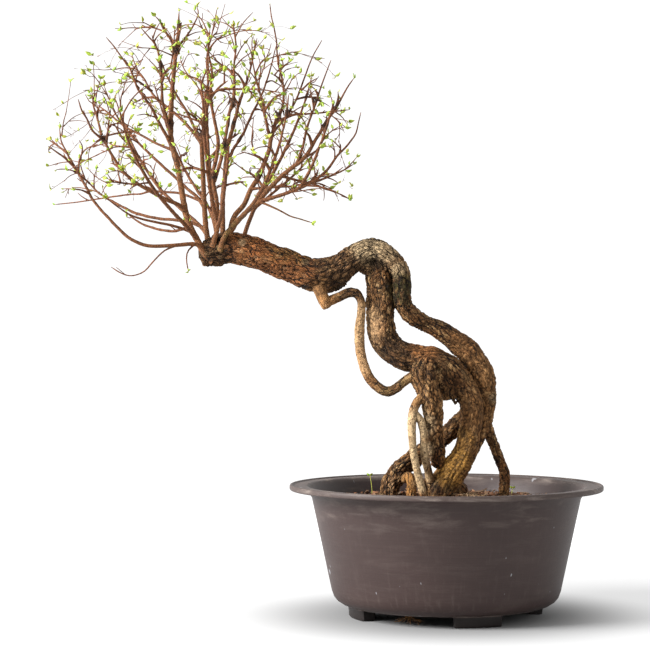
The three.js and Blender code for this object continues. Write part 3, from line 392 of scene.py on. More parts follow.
shootRoutes = {
    "shoot_1": {
        "stem": [(-233, 355, -5, 9), (-241, 361, -7, 8.4), (-248.3, 374, -8, 8), (-258.5, 395.4, -8, 7.5),
            (-264.6, 426, -8, 7), (-268.7, 450.5, -7, 6.5), (-274, 470, -6, 6.3), (-275.4, 490, -5, 6.2),
            (-273.6, 526, -3, 5.2), (-271.1, 554, 0, 4.8), (-270.1, 566, 1, 5), (-267, 584.4, 2, 4.2),
            (-267, 591.5, 2, 3.6)],
        "topRight": [(-270, 565, 1, 3.2), (-261, 577, 6, 2.6), (-255, 585.4, 9, 2.2), (-251, 593, 11, 2),
            (-247.6, 601, 12, 1.6), (-249, 608, 13, 1.2)],
        "topLeft": [(-271.5, 568, 1, 3), (-276, 577, -5, 2.5), (-282.3, 585.4, -9, 2),
            (-286, 593.6, -12, 1.7), (-291, 599, -14, 1.2)],
        "upperLeft": [(-274.5, 483, -5, 4), (-280, 499, -9, 3.8), (-283.3, 513, -13, 3.4),
            (-284.4, 533.4, -18, 3), (-285.4, 550, -22, 3.4), (-289.5, 568, -26, 2.3),
            (-298, 579, -29, 1.8), (-305, 587, -31, 1.2)],
        "midLeft": [(-274, 468, -6, 4.6), (-280, 480, -10, 4.2), (-286.3, 491, -14, 3.9),
            (-294.4, 507, -20, 3.5), (-300.6, 516, -24, 3.3), (-307.8, 525.5, -28, 3),
            (-312.2, 537, -30, 2.6), (-316.7, 548, -32, 2.2), (-322, 557, -34, 1.5)],
        "flatLeft": [(-273, 465, -6, 3.4), (-284, 469, 0, 3.1), (-294.4, 474, 5, 3), (-305, 480, 10, 2.8),
            (-322, 489, 20, 2.5), (-338, 502.3, 28, 2.2), (-348, 509.5, 34, 1.5)],
        "lowArch": [(-240, 360, -8, 6), (-245, 368, -13, 5.6), (-253, 371, -18, 5.2),
            (-274, 369.5, -26, 4.8), (-296, 369, -32, 4.5), (-309.5, 373, -35, 4.3), (-320.7, 380, -37, 4),
            (-338, 397.5, -39, 3.6), (-352.3, 414, -40, 3.2), (-361.5, 431, -40, 3),
            (-372.7, 450.5, -39, 2.6), (-382, 467.5, -38, 2), (-385.5, 477, -37, 1.7),
            (-386.4, 487, -36, 1.2)],
        "archTipLow": [(-370, 446, -39, 2.2), (-380, 456, -44, 1.9), (-388, 462, -48, 1.7),
            (-398, 469, -52, 1.2)],
        "archTipHigh": [(-379, 462, -38, 2), (-388, 469, -33, 1.7), (-398.5, 476, -28, 1.2)],
        "archTipInner": [(-368, 442, -40, 2.2), (-366, 457, -45, 1.9), (-360, 466, -48, 1.6),
            (-348, 471, -54, 1.2)],
        "archHanger": [(-270, 369.5, -25, 2.2), (-282, 364, -24, 1.7), (-293.2, 353, -22, 1.6),
            (-301.3, 344, -20, 1.5), (-309, 340.4, -19, 1.4), (-317.7, 339.3, -18, 1.3),
            (-327, 343, -17, 1.2), (-335, 348, -16, 1.1)],
        "shortHanger": [(-251, 371, -17, 2), (-258, 364, -20, 1.5), (-259.5, 355, -21, 1.3),
            (-257.5, 343.4, -22, 1.1)],
        "lowSide": [(-252, 382, -8, 4), (-264, 386.5, -13, 3.6), (-276, 390, -17, 3.3),
            (-298, 394.5, -24, 2.9), (-314.6, 399.5, -30, 2.4), (-328, 408, -36, 1.8),
            (-340, 417, -42, 1.2)],
        "lowTwig": [(-255.5, 389, -8, 3), (-266, 385, -3, 2.7), (-278, 384, 2, 2.5), (-296, 388, 8, 2.2),
            (-309, 394, 12, 1.8), (-320, 403, 16, 1.2)],
        "longSide": [(-260, 401, -8, 5.5), (-266, 409.5, -13, 5.2), (-279, 415, -20, 5),
            (-294.2, 423, -27, 4.7), (-309.5, 432, -33, 4.4), (-323, 443.4, -38, 4), (-331, 455, -41, 3.7),
            (-337, 465, -43, 3.4), (-341.5, 474, -45, 3), (-345, 481, -46, 2.6)],
        "longTipLeft": [(-342, 475, -45, 2.4), (-353.3, 484, -52, 2.1), (-359, 496, -58, 1.8),
            (-364, 504, -62, 1.6), (-368, 516, -66, 1.2)],
        "longTipMid": [(-344.5, 480, -46, 2.3), (-348, 494.3, -44, 2), (-352.4, 509, -42, 1.7),
            (-354, 523, -40, 1.2)],
        "longTipRight": [(-340, 471, -44, 2.3), (-338, 485, -50, 1.9), (-337, 495, -54, 1.6),
            (-335, 507, -58, 1.2)],
        "thinLow": [(-296, 424, -27, 2), (-306, 421, -20, 1.8), (-317, 420.5, -12, 1.7),
            (-342, 417, 2, 1.6), (-368, 413, 12, 1.4), (-391, 410.5, 20, 1.1)],
        "frontLeft": [(-250, 377, -9, 5), (-260, 389, -26, 4.8), (-274, 404, -48, 4.5),
            (-290, 423, -70, 4.2), (-304, 445, -88, 3.6), (-315, 467, -100, 3), (-322, 487, -107, 2.2),
            (-327, 505, -112, 1.5)],
    },
    "shoot_2": {
        "stem": [(-232, 361, 4, 8), (-236.5, 367, 5, 7.4), (-238.5, 377, 6, 7), (-240.3, 389, 8, 6.8),
            (-242, 416, 11, 6.4), (-243, 442.5, 13, 6), (-244, 462, 14, 5.8), (-244.7, 482, 15, 5.2)],
        "stubLeft": [(-244, 471, 14, 4.2), (-255.5, 486, 18, 3.8), (-267, 498, 22, 3.5),
            (-275.2, 505, 26, 3.2), (-292.5, 520, 34, 2.8), (-302.7, 537.4, 40, 2.2),
            (-316, 552, 46, 1.4)],
        "stubUp": [(-244.5, 475, 15, 4.4), (-251, 486, 17, 4), (-255, 494.3, 18, 3.7),
            (-259, 503, 18, 3.4), (-269.5, 520, 17, 2.8), (-279.3, 539.5, 16, 2), (-286, 557, 15, 1.3)],
        "stubTop": [(-244.5, 478, 15, 4), (-240, 497, 20, 3.5), (-241, 517, 26, 3), (-237, 537, 31, 2.6),
            (-239, 559, 36, 2.1), (-234, 581, 40, 1.7), (-229, 606, 44, 1.2)],
        "longLeft": [(-242.2, 409, 11, 4.5), (-250, 419, 15, 4.3), (-258.5, 426, 19, 4),
            (-270, 437, 23, 3.8), (-284, 449.5, 27, 3.6), (-299.3, 464, 31, 3.3), (-317, 482, 35, 2.8),
            (-327.4, 496, 37, 2.3), (-335, 509, 38, 1.5)],
        "flatLeft": [(-241.7, 412, 11, 3.4), (-254, 417.5, 19, 3.2), (-268, 422, 27, 3.1),
            (-291, 424, 37, 2.8), (-307.4, 430, 43, 2.5), (-323, 432, 48, 2.1), (-339, 436.5, 53, 1.3)],
        "lowLeft": [(-240, 386, 8, 4.2), (-250, 390.5, 11, 4), (-258.5, 393.4, 14, 3.9),
            (-274, 395.4, 19, 3.8), (-288, 396.5, 24, 3.6), (-309.5, 401.6, 32, 3.4), (-325, 409, 38, 3),
            (-343, 419, 44, 2.6), (-352.3, 427, 47, 2.2), (-366, 442, 50, 1.4)],
        "backLeft": [(-239.5, 382, 7, 5), (-250, 393, 26, 4.8), (-266, 407, 48, 4.5), (-285, 425, 70, 4.1),
            (-302, 449, 88, 3.6), (-315, 473, 100, 3), (-324, 497, 106, 2.2), (-331, 517, 110, 1.5)],
    },
    "shoot_3": {
        "stem": [(-233, 369, -11, 6.8), (-231.7, 376, -14, 6.4), (-228.7, 386, -17, 6.1),
            (-228.7, 402.3, -22, 5.8), (-229.6, 416, -26, 5.5), (-232.2, 429, -30, 5.2),
            (-233, 442.5, -34, 5), (-229.6, 457, -38, 4.6), (-228, 475, -42, 4.2), (-232, 497, -46, 3.8),
            (-236, 520, -49, 3.2), (-234, 543, -52, 2.6), (-238, 565, -54, 2), (-236, 587, -56, 1.3)],
        "upright": [(-232.5, 434, -31, 4.6), (-226.5, 450, -29, 4.4), (-222.4, 468, -26, 4.2),
            (-219, 487, -23, 4), (-216.5, 503, -20, 3.9), (-213, 513, -18, 4.3), (-211.5, 533, -15, 3),
            (-212, 549, -13, 2.4), (-210, 571, -11, 1.8), (-213, 593, -9, 1.2)],
        "front": [(-228.5, 393, -19, 5), (-232, 407, -38, 4.8), (-236, 427, -62, 4.6),
            (-239, 453, -84, 4.2), (-242, 483, -100, 3.6), (-243, 513, -109, 2.8), (-246, 539, -114, 1.6)],
        "lowFront": [(-228.6, 388, -18, 4.8), (-226, 396, -42, 4.6), (-224, 408, -70, 4.4),
            (-222, 425, -98, 4), (-219, 447, -119, 3.2), (-217, 469, -131, 1.9)],
    },
    "shoot_4": {
        "stem": [(-224, 370, 4, 6.8), (-223.3, 383, 5, 6.4), (-223.3, 396, 7, 6.2), (-223.3, 416, 11, 6),
            (-221.5, 434, 16, 5.7), (-220.2, 451.4, 21, 5.3), (-218.5, 467.5, 26, 5),
            (-214.4, 483, 31, 4.6), (-211.5, 493, 34, 4.2), (-207, 511, 38, 3.5), (-200, 531, 42, 2.8),
            (-194, 553, 46, 2.2), (-189, 577, 49, 1.4)],
        "rightFork": [(-220.5, 447, 20, 3.8), (-213, 465, 26, 3.6), (-203, 481, 33, 3.3),
            (-194, 501, 40, 2.9), (-184, 521, 46, 2.4), (-176, 545, 50, 1.9), (-170, 569, 53, 1.2)],
    },
    "shoot_5": {
        "stem": [(-220, 372, -6, 6.8), (-214.5, 385, -6, 6.3), (-204.6, 398, -7, 6), (-187, 415, -10, 5.7),
            (-178, 425, -12, 5.5), (-162, 441, -16, 5.2), (-142, 457, -20, 4.6), (-130, 476, -23, 4),
            (-121.4, 490, -25, 3.6), (-113, 503.4, -27, 3.2), (-106.5, 513.3, -28, 2.6),
            (-99, 527, -29, 1.9), (-92, 537, -30, 1.3)],
        "lowRight": [(-164, 439, -15.5, 3.2), (-150, 435, -12, 2.8), (-133, 431, -8, 2.5),
            (-121, 426.3, -5, 2.2), (-106, 421, -1, 1.7), (-97, 416.3, 1, 1.2)],
        "upper": [(-149, 451.5, -18, 3.4), (-143, 469, -24, 3.1), (-139, 487, -30, 2.8),
            (-132, 507, -36, 2.4), (-124, 531, -41, 1.9), (-115, 555, -45, 1.2)],
    },
    "shoot_6": {
        "stem": [(-213, 369, 10, 7.6), (-215.5, 384, 11, 7.2), (-211.5, 399, 13, 6.9),
            (-202, 410.3, 15, 6.7), (-195.6, 425, 18, 6.5), (-187.5, 438, 21, 6.2), (-182, 451.4, 24, 5.9),
            (-177, 465, 27, 5.6), (-174.5, 478.2, 29, 5.2), (-168, 500, 32, 4.4)],
        "inner": [(-175, 475, 28.5, 4), (-178, 485.4, 26, 3.6), (-181.3, 500.5, 23, 3.4),
            (-183, 510, 21, 3.2), (-186.4, 523, 18, 2.6), (-191, 541, 15, 2), (-195, 563, 12, 1.3)],
        "right": [(-195, 426, 18, 3.4), (-184, 427, 13, 3.2), (-169, 428, 9, 2.8), (-153, 429, 6, 2.4),
            (-138, 433, 3, 1.9), (-120, 441, 0, 1.2)],
        "top": [(-170, 494, 31, 3.4), (-163, 511, 37, 3), (-163, 531, 42, 2.6), (-168, 553, 46, 2.2),
            (-170, 577, 49, 1.8), (-175, 601, 51, 1.4), (-176, 611, 52, 1.1)],
        "outer": [(-173.5, 482, 30, 3.4), (-161, 497, 38, 3.1), (-150, 515, 45, 2.7), (-142, 536, 51, 2.2),
            (-134, 557, 55, 1.7), (-124, 575, 58, 1.2)],
    },
    "shoot_7": {
        "stem": [(-226, 364, -13, 6.4), (-223.5, 374, -16, 5.9), (-218, 383.6, -19, 5.5),
            (-208, 395, -23, 5.2), (-195.6, 407, -27, 5), (-187, 413, -30, 4.8), (-171, 418, -34, 4.4),
            (-159, 422, -37, 4.2), (-146.3, 427, -40, 4), (-135.5, 432, -42, 3.8), (-125.5, 439, -44, 3.4),
            (-117.2, 447, -46, 3.1), (-109, 459, -48, 2.8), (-101, 467, -49, 2.5), (-95, 474.4, -50, 2.2),
            (-90, 482, -51, 1.9), (-87.4, 493, -52, 1.5), (-85, 503, -52, 1.1)],
        "sideTip": [(-134, 433, -42, 2.6), (-125.5, 435, -36, 2.4), (-116, 439, -31, 2.1),
            (-106, 443, -26, 1.7), (-92, 451, -20, 1.2)],
        "lowTip": [(-187, 413.5, -30, 2.6), (-177, 409.5, -35, 2.2), (-165.3, 404, -40, 1.8),
            (-156, 399, -44, 1.6), (-144.6, 395.6, -48, 1.4), (-134, 392.3, -52, 1.1)],
        "frontRight": [(-209, 394, -23, 4.8), (-199, 404, -44, 4.6), (-188, 419, -67, 4.3),
            (-178, 439, -87, 3.8), (-169, 463, -101, 3.2), (-162, 489, -109, 2.4), (-158, 511, -113, 1.5)],
        "upper": [(-146, 427.5, -40, 3), (-135, 447, -50, 2.7), (-127, 467, -59, 2.4),
            (-119, 489, -66, 1.9), (-113, 511, -70, 1.2)],
    },
    "shoot_8": {
        "stem": [(-224, 363, 9, 6.4), (-225.5, 370, 17, 6.2), (-229.5, 382, 31, 5.8), (-233, 404, 51, 5.4),
            (-235, 433, 72, 5), (-238, 467, 90, 4.4), (-239, 500, 102, 3.6), (-238, 531, 108, 2.6),
            (-240, 555, 111, 1.5)],
        "leftFork": [(-232, 399, 47, 4), (-245, 419, 62, 3.7), (-260, 443, 76, 3.3), (-274, 473, 86, 2.8),
            (-284, 505, 92, 2.2), (-292, 531, 95, 1.3)],
    },
    "shoot_9": {
        "stem": [(-203, 362, 7, 6.2), (-203.5, 371, 17, 6), (-199, 388, 34, 5.5), (-189, 412, 54, 5),
            (-175, 438, 74, 4.6), (-161, 465, 90, 4), (-149, 492, 99, 3.2), (-140, 517, 104, 2.3),
            (-134, 539, 107, 1.4)],
        "lowFork": [(-192, 406, 49, 3.8), (-172, 423, 62, 3.4), (-151, 441, 74, 2.9), (-131, 463, 82, 2.2),
            (-117, 483, 86, 1.3)],
    },
    "shoot_10": {
        "stem": [(-218, 356, 8, 5.8), (-219, 358, 19, 5.4), (-224, 368, 45, 5), (-230, 384, 75, 4.5),
            (-234, 405, 103, 3.8), (-234, 431, 123, 3), (-231, 455, 134, 1.8)],
    },
}


# Pot: one turned shell with a beaded flange, four curved feet and a drain hole between each two
potShape = {
    "sides": 160,
    "rimRadius": (potHigh.x - potLow.x) / 2 / mm,
    "rimTop": potHigh.z / mm,
    "flangeWidth": 19.5,
    "flangeThickness": 5.5,
    "beadWidth": 3.4,
    "beadRise": 1,
    "wallTop": (134.2, 118),
    "wallLow": (114.4, 26),
    "wallThickness": 3,
    "baseRadius": 92,
    "baseHeight": 10,
    "baseThickness": 3.5,
    "wallSteps": 14,
    "feet": 4,
    "footRadii": (83, 97),
    "footLength": 46,
    "footFlare": 1.2,
    "footOverlap": 1.5,
    "firstFoot": 16,
    "drainRing": 82,
    "drainRadius": 6.5,
}


def potProfile(shape):
    rim, top, edge = shape["rimRadius"], shape["rimTop"], shape["baseRadius"]
    (topRadius, topHeight), (lowRadius, lowHeight) = shape["wallTop"], shape["wallLow"]
    under, flat = top - shape["flangeThickness"], top - shape["beadRise"]
    opening, bead = rim - shape["flangeWidth"], rim - shape["beadWidth"]
    base, floor = shape["baseHeight"], shape["baseHeight"] + shape["baseThickness"]
    wall = shape["wallThickness"]
    slope = (topRadius - lowRadius) / (topHeight - lowHeight)
    outside = [(lowRadius + slope * rise, lowHeight + rise)
               for rise in np.linspace(0, topHeight - lowHeight, shape["wallSteps"])]
    inside = [(radius - wall, height + 1) for radius, height in reversed(outside)]
    inside[0] = (topRadius - wall, topHeight)

    def near(radius, height, *steps):
        return [(radius + out, height + up) for out, up in steps]

    return [
        (30, base), (60, base),
        *near(edge, base, (-2, 0), (0.5, 0.2), (6, 0.9), (12, 2.8), (17, 6), (20, 9.6)),
        *outside,
        *near(opening, under, (-1.4, -5.4), (0.4, -2.6), (2.2, -0.9), (5, -0.1), (7, 0)),
        *near(rim, under, (-2.4, 0), (-0.9, 0.2), (-0.2, 0.9), (0, 1.9)),
        *near(rim, top, (-0.1, -1.5), (-0.5, -0.5), (-1.3, 0)),
        *near(bead, top, (0.9, 0), (0.2, -0.4)),
        *near(bead, flat, (-0.3, -0.1), (-1.2, -0.25), (-6, -0.1)),
        *near(opening, flat, (4.5, 0), (2.2, -0.3), (0.4, -1.5), (-0.8, -4)),
        *inside,
        *near(edge, floor, (17, 7.4), (12, 3.4), (4, 0.6), (-4, 0)),
        (40, floor),
    ]


# A point by its distance from the pot's axis, its angle and its height
def onPot(radius, angle, height):
    across, along = radius * mm * math.cos(angle), radius * mm * math.sin(angle)
    return (potAxis.x + across, potAxis.y + along, height * mm)


# Where a foot stands round the pot, or with a half added the drain hole after it
def footAngle(number):
    return math.radians(potShape["firstFoot"] + 360 / potShape["feet"] * number)


# A closed turned shell: a ring is extruded from one point of the profile to the next
def turned(profile, sides):
    (radius, height), rest = profile[0], profile[1:]
    bpy.ops.mesh.primitive_circle_add(
        vertices=sides, radius=radius * mm, fill_type="TRIFAN",
        location=(potAxis.x, potAxis.y, height * mm))
    shell = bpy.context.object
    bpy.ops.object.mode_set(mode="EDIT")
    bpy.ops.mesh.select_all(action="DESELECT")
    bpy.ops.object.mode_set(mode="OBJECT")
    for edge in shell.data.edges:
        edge.select = all(shell.data.vertices[v].co.xy.length > radius * mm / 2 for v in edge.vertices)
    bpy.ops.object.mode_set(mode="EDIT")
    bpy.ops.mesh.select_mode(type="EDGE")
    for nextRadius, nextHeight in rest:
        bpy.ops.mesh.extrude_region_move(
            TRANSFORM_OT_translate={"value": (0, 0, (nextHeight - height) * mm)})
        share = nextRadius / radius
        bpy.ops.transform.resize(value=(share, share, 1), center_override=(potAxis.x, potAxis.y, 0))
        radius, height = nextRadius, nextHeight
    bpy.ops.mesh.fill()
    bpy.ops.mesh.select_all(action="SELECT")
    bpy.ops.mesh.remove_doubles(threshold=1e-6)
    bpy.ops.mesh.normals_make_consistent(inside=False)
    bpy.ops.object.mode_set(mode="OBJECT")
    bpy.ops.object.transform_apply()
    return shell


# A curved foot under the base: a short arc of wall
def foot(shape, middle):
    inner, outer = shape["footRadii"]
    half = shape["footLength"] / (inner + outer)
    bpy.ops.mesh.primitive_cube_add(size=1)
    block = bpy.context.object
    bpy.ops.object.mode_set(mode="EDIT")
    bpy.ops.mesh.bevel(offset=0.08, segments=2, affect="EDGES")
    bpy.ops.mesh.subdivide(number_cuts=5)
    bpy.ops.object.mode_set(mode="OBJECT")
    for vertex in block.data.vertices:
        across, along, up = vertex.co
        flare = shape["footFlare"] * (up + 0.5) * (1 if across > 0 else -1)
        radius = (inner + outer) / 2 + across * (outer - inner) + flare
        height = (up + 0.5) * (shape["baseHeight"] + shape["footOverlap"])
        vertex.co = onPot(radius, middle + along * 2 * half, height)
    return block


def cutWith(piece, cutter, operation):
    alone(piece)
    cut = piece.modifiers.new("cut", "BOOLEAN")
    cut.operation = operation
    cut.object = cutter
    cut.solver = "EXACT"
    bpy.ops.object.modifier_apply(modifier=cut.name)
    bpy.data.objects.remove(cutter)


def makePot(shape):
    pot = turned(potProfile(shape), shape["sides"])
    cutWith(pot, joined([foot(shape, footAngle(i)) for i in range(shape["feet"])]), "UNION")
    drains = []
    for i in range(shape["feet"]):
        bpy.ops.mesh.primitive_cylinder_add(
            vertices=28, radius=shape["drainRadius"] * mm, depth=30 * mm,
            location=onPot(shape["drainRing"], footAngle(i + 0.5), shape["baseHeight"]))
        bpy.ops.object.transform_apply()
        drains.append(bpy.context.object)
    cutWith(pot, joined(drains), "DIFFERENCE")
    return smoothed(pot, 32)


potLook = {
    "plastic": (62, 46, 43), "deep": (46, 34, 32), "shadeUnderBase": (17, 13, 11),
    "dustAndSheen": (138, 126, 118), "shine": 0.4,
    "speck": (205, 208, 214),
}


def potPlastic(look):
    shade = Shade("potPlastic")
    clouds = shade.grain(9, 3, where=shade.spread((1, 1, 2.2)))
    turns = shade.grain(1, 3, 0.6, where=shade.spread((14, 14, 900)))
    streaks = shade.grain(1, 4, 0.6, where=shade.spread((230, 230, 9)))
    height = shade.node("SeparateXYZ", {}, {"Vector": shade.place()}, "Z")
    speckle = shade.grain(520, 3, 0.7)
    dustPatches = shade.grain(20, 5, 0.68, where=shade.spread((1, 1, 5), (3, 1, 2)), twist=0.4)
    rim, upper, lower = height.over(0.124, 0.1285), height.over(0.088, 0.108), 1 - height.over(0.02, 0.05)
    # the top of the rim gets the dust colour, partly dust and partly a painted highlight along the rim
    dustAndSheen = dustPatches.over(0.46, 0.72) * (upper * 0.15 + rim * 0.5 + 0.05) + rim * 0.12
    dustAndSheen = dustAndSheen + streaks.over(0.5, 0.8) * (lower * 0.07 + 0.04)
    specks = shade.grain(150, 1, 0.3, where=shade.spread((1, 1, 0.6), (7, 2, 4))).over(0.76, 0.79)
    lowEdge = height.over(0.0104, 0.0112) * (1 - height.over(0.0118, 0.0128)) * dustPatches.over(0.4, 0.6)
    return shade.surfaced({
        "Base Color": shade.layered(
            look, "deep", ("plastic", clouds * 0.7 + turns * 0.5 - 0.1), ("dustAndSheen", dustAndSheen * (0.5 + speckle)),
            ("speck", specks * 0.35), ("dustAndSheen", lowEdge * 0.7),
            # painted shade: below the base, on the feet and the underside, the plastic is darkened nearly
            # to black
            ("shadeUnderBase", (1 - height.over(0.0098, 0.0104)) * 0.85)),
        "Roughness": 0.46 + dustAndSheen * 0.35 + speckle * 0.1,
        "Normal": shade.relief(turns * 0.6 + streaks * 0.25 + speckle * 0.2, 0.0004, 0.5),
        "IOR": 1.46,
        "Specular IOR Level": look["shine"],
    })


potPiece = makePot(potShape)
finished(potPiece, "potShell", potPlastic(potLook), "pot_plastic", "pot")


# Soil: a mounded, crumbly bed up to the wall, with loose grains, bark chips and a patch of mulch on it
soilShape = {
    "height": 113, "moundHeight": 7, "moundReach": 62, "moundCentre": (-8, -2), "relief": 1.1,
    "radius": 129.4, "bottomRadius": 110, "bottom": 28, "rings": 46, "sides": 150,
    "rim": 8, "lumps": (1.5, 0.16), "crumbs": (0.9, 0.55), "sunk": 0.8,
}


def soilTop(x, y, shape=soilShape):
    reach = np.hypot(x - shape["moundCentre"][0], y - shape["moundCentre"][1]) / shape["moundReach"]
    grain = np.sin(x * 0.31 + y * 0.17) * np.sin(y * 0.27 - x * 0.11) + 0.6 * np.sin(x * 0.53 - y * 0.61)
    return shape["height"] + shape["moundHeight"] * np.exp(-reach ** 2) + shape["relief"] * grain


def makeSoilBed(shape):
    step = shape["radius"] / shape["rings"]
    rings = [(step * (i + 1), shape["height"]) for i in range(shape["rings"])]
    rings += [(shape["radius"], shape["height"] - shape["rim"]), (shape["bottomRadius"], shape["bottom"])]
    bed = turned(rings, shape["sides"])
    points = fromFrame(verticesOf(bed))
    top = points[:, 2] > shape["height"] - shape["rim"] / 2
    (lumps, lumpScale), (crumbs, crumbScale) = shape["lumps"], shape["crumbs"]
    rough = np.array([
        lumps * noise.fractal(Vector(p) * lumpScale, 1, 2, 4) + crumbs * noise.noise(Vector(p) * crumbScale)
        for p in points])
    points[top, 2] = soilTop(points[top, 0], points[top, 1]) + rough[top] - shape["sunk"]
    moveVertices(bed, inFrame(points))
    return smoothed(bed)


# Many copies of one small shape as one mesh, each turned, stretched and placed
def scattered(name, form, places, turns, sizes, draw):
    corners = verticesOf(form)
    matrices = np.array([Euler(turn).to_matrix() for turn in turns])
    copies = np.einsum("nij,nkj->nki", matrices, corners[None] * sizes[:, None, :]) + places[:, None, :]
    piece = gathered(name, form, copies)
    bpy.data.objects.remove(form)
    paint(piece, "each", np.repeat([draw() for _ in places], len(corners)))
    return piece


# A rough pebble, one unit across
def pebble(roughness, seed):
    bpy.ops.mesh.primitive_ico_sphere_add(subdivisions=1, radius=0.5)
    stone = bpy.context.object
    for vertex in stone.data.vertices:
        vertex.co *= 1 + roughness * noise.noise(vertex.co * 3 + Vector((seed, 0, 0)))
    return stone


# A flat splinter of bark or wood, one unit long
def splinter(width, thickness):
    bpy.ops.mesh.primitive_cube_add(size=1)
    chip = bpy.context.object
    bpy.ops.object.mode_set(mode="EDIT")
    bpy.ops.mesh.subdivide(number_cuts=1)
    bpy.ops.object.mode_set(mode="OBJECT")
    for vertex in chip.data.vertices:
        x, y, z = vertex.co
        narrow = 1 - 0.55 * abs(x) * 2
        vertex.co = (x, y * width * narrow + 0.06 * math.sin(5 * x), (z * thickness) + 0.08 * x * x)
    return chip


# Random places on the soil, within a reach of a centre
def onSoil(count, draw, reach, lift=0.3, centre=(0, 0)):
    angle = np.array([draw() for _ in range(count)]) * 2 * math.pi
    radius = reach * np.sqrt([draw() for _ in range(count)])
    x, y = centre[0] + radius * np.cos(angle), centre[1] + radius * np.sin(angle)
    return np.stack([x, y, soilTop(x, y) + lift], 1)


def drawn(count, low, high, draw):
    return low + (high - low) * np.array([[draw() for _ in range(3)] for _ in range(count)])


soilLook = {
    "peat": (58, 38, 26), "brown": (112, 74, 46), "rust": (134, 84, 54),
    "pale": (196, 166, 126),
}


def soilEarth(look):
    shade = Shade("soilEarth")
    lumps, patches, crumbs = shade.grain(160, 4, 0.65), shade.grain(38, 3, 0.6), shade.grain(620, 4, 0.7)
    return shade.surfaced({
        "Base Color": shade.layered(
            look, "peat", ("brown", lumps * 1.3 + crumbs * 0.3 - 0.3),
            ("rust", patches.over(0.5, 0.7) * crumbs.over(0.45, 0.6))),
        "Roughness": 0.82 + crumbs * 0.2,
        "Normal": shade.relief(crumbs + lumps, 0.0012, 0.9),
    })


def soilCrumb(look):
    shade = Shade("soilCrumb")
    each, crumbs = shade.painted("each"), shade.grain(700, 3, 0.7)
    return shade.surfaced({
        "Base Color": shade.layered(
            look, "peat", ("brown", each * 1.2 + crumbs * 0.5 - 0.3), ("rust", each.over(0.72, 0.86)),
            ("pale", shade.painted("straw") * (0.55 + crumbs * 0.6))),
        "Roughness": 0.9,
        "Normal": shade.relief(crumbs, 0.0006, 0.8),
    })


crumbShape = {
    "seed": 611, "reach": 127.5, "flatness": 0.75, "roughness": 0.9, "sharpest": 50,
    "grains": [
        {"count": 1300, "size": (2.0, 4.6)},
        {"count": 900, "size": (1.4, 3.2)},
        {"count": 260, "size": (3.6, 6.4)},
    ],
    "splinters": [
        {"name": "chips", "width": 0.3, "thickness": 0.1, "count": 420, "reach": 126, "centre": (0, 0),
         "lift": 1.4, "heap": 0.0, "tilt": 0.5, "length": (4, 12), "straw": 0.15},
        {"name": "mulch", "width": 0.26, "thickness": 0.14, "count": 150, "reach": 17, "centre": (22, -12),
         "lift": 1.6, "heap": 2.0, "tilt": 0.7, "length": (2.2, 5), "straw": 0.5},
    ],
}


def makeCrumbs(shape):
    draw = makeDraw(shape["seed"])
    parts = []
    for seed, kind in enumerate(shape["grains"]):
        count = kind["count"]
        places = onSoil(count, draw, shape["reach"], 0.5)
        turns = drawn(count, 0, 2 * math.pi, draw)
        sizes = drawn(count, *kind["size"], draw) * (1, 1, shape["flatness"])
        form = pebble(shape["roughness"], seed)
        parts.append((scattered("grains", form, places, turns, sizes, draw), 0))
    for kind in shape["splinters"]:
        count = kind["count"]
        places = onSoil(count, draw, kind["reach"], kind["lift"], kind["centre"])
        places[:, 2] += [kind["heap"] * draw() for _ in range(count)]
        turns = drawn(count, -kind["tilt"], kind["tilt"], draw) * (1, 1, 12)
        sizes = drawn(count, *kind["length"], draw)[:, :1] * (1, 1, 1)
        form = splinter(kind["width"], kind["thickness"])
        parts.append((scattered(kind["name"], form, places, turns, sizes, draw), kind["straw"]))
    for part, straw in parts:
        paint(part, "straw", straw)
    return smoothed(joined([part for part, _ in parts]), shape["sharpest"])


soilPiece = makeSoilBed(soilShape)
finished(soilPiece, "soilBed", soilEarth(soilLook), "soil", "soil")
finished(makeCrumbs(crumbShape), "soilCrumbs", soilCrumb(soilLook), "soil")


# Root tuft: fine roots that have grown out through one drain hole
tuftShape = {
    "seed": 611, "strands": 40, "drain": 2, "spread": 17, "radius": 0.5,
    "light": (150, 104, 50), "dark": (62, 42, 24),
}


def makeTuft(shape):
    draw = makeDraw(shape["seed"])
    angle = footAngle(shape["drain"] + 0.5)
    hole = np.array([math.cos(angle), math.sin(angle), 0]) * potShape["drainRing"]
    across = np.array([-math.sin(angle), math.cos(angle), 0])
    strands = []
    for _ in range(shape["strands"]):
        start = hole + [4 * draw() - 2, 4 * draw() - 2, potShape["baseHeight"] + 3]
        along, outward = (2 * draw() - 1) * shape["spread"], (draw() - 0.3) * 0.6 * shape["spread"]
        end = hole + across * along + hole / potShape["drainRing"] * outward + [0, 0, 1.2 + 6 * draw()]
        middle = start * 0.6 + end * 0.4 - [0, 0, 3]
        radii = shape["radius"] * np.array([1, 0.8, 0.5])
        strands.append(stepsAlong((np.array([start, middle, end]), radii), 2.2))
    return tubes("tuft", strands, 0)


def tuftFibre(look):
    shade = Shade("tuftFibre")
    fine = shade.grain(600, 3, 0.7)
    return shade.surfaced({
        "Base Color": shade.layered(look, "dark", ("light", shade.grain(150, 3).over(0.35, 0.65))),
        "Roughness": 0.7 + fine * 0.25,
        "Normal": shade.relief(fine, 0.0003, 0.6),
    })


finished(makeTuft(tuftShape), "rootTuft", tuftFibre(tuftShape), "soil")


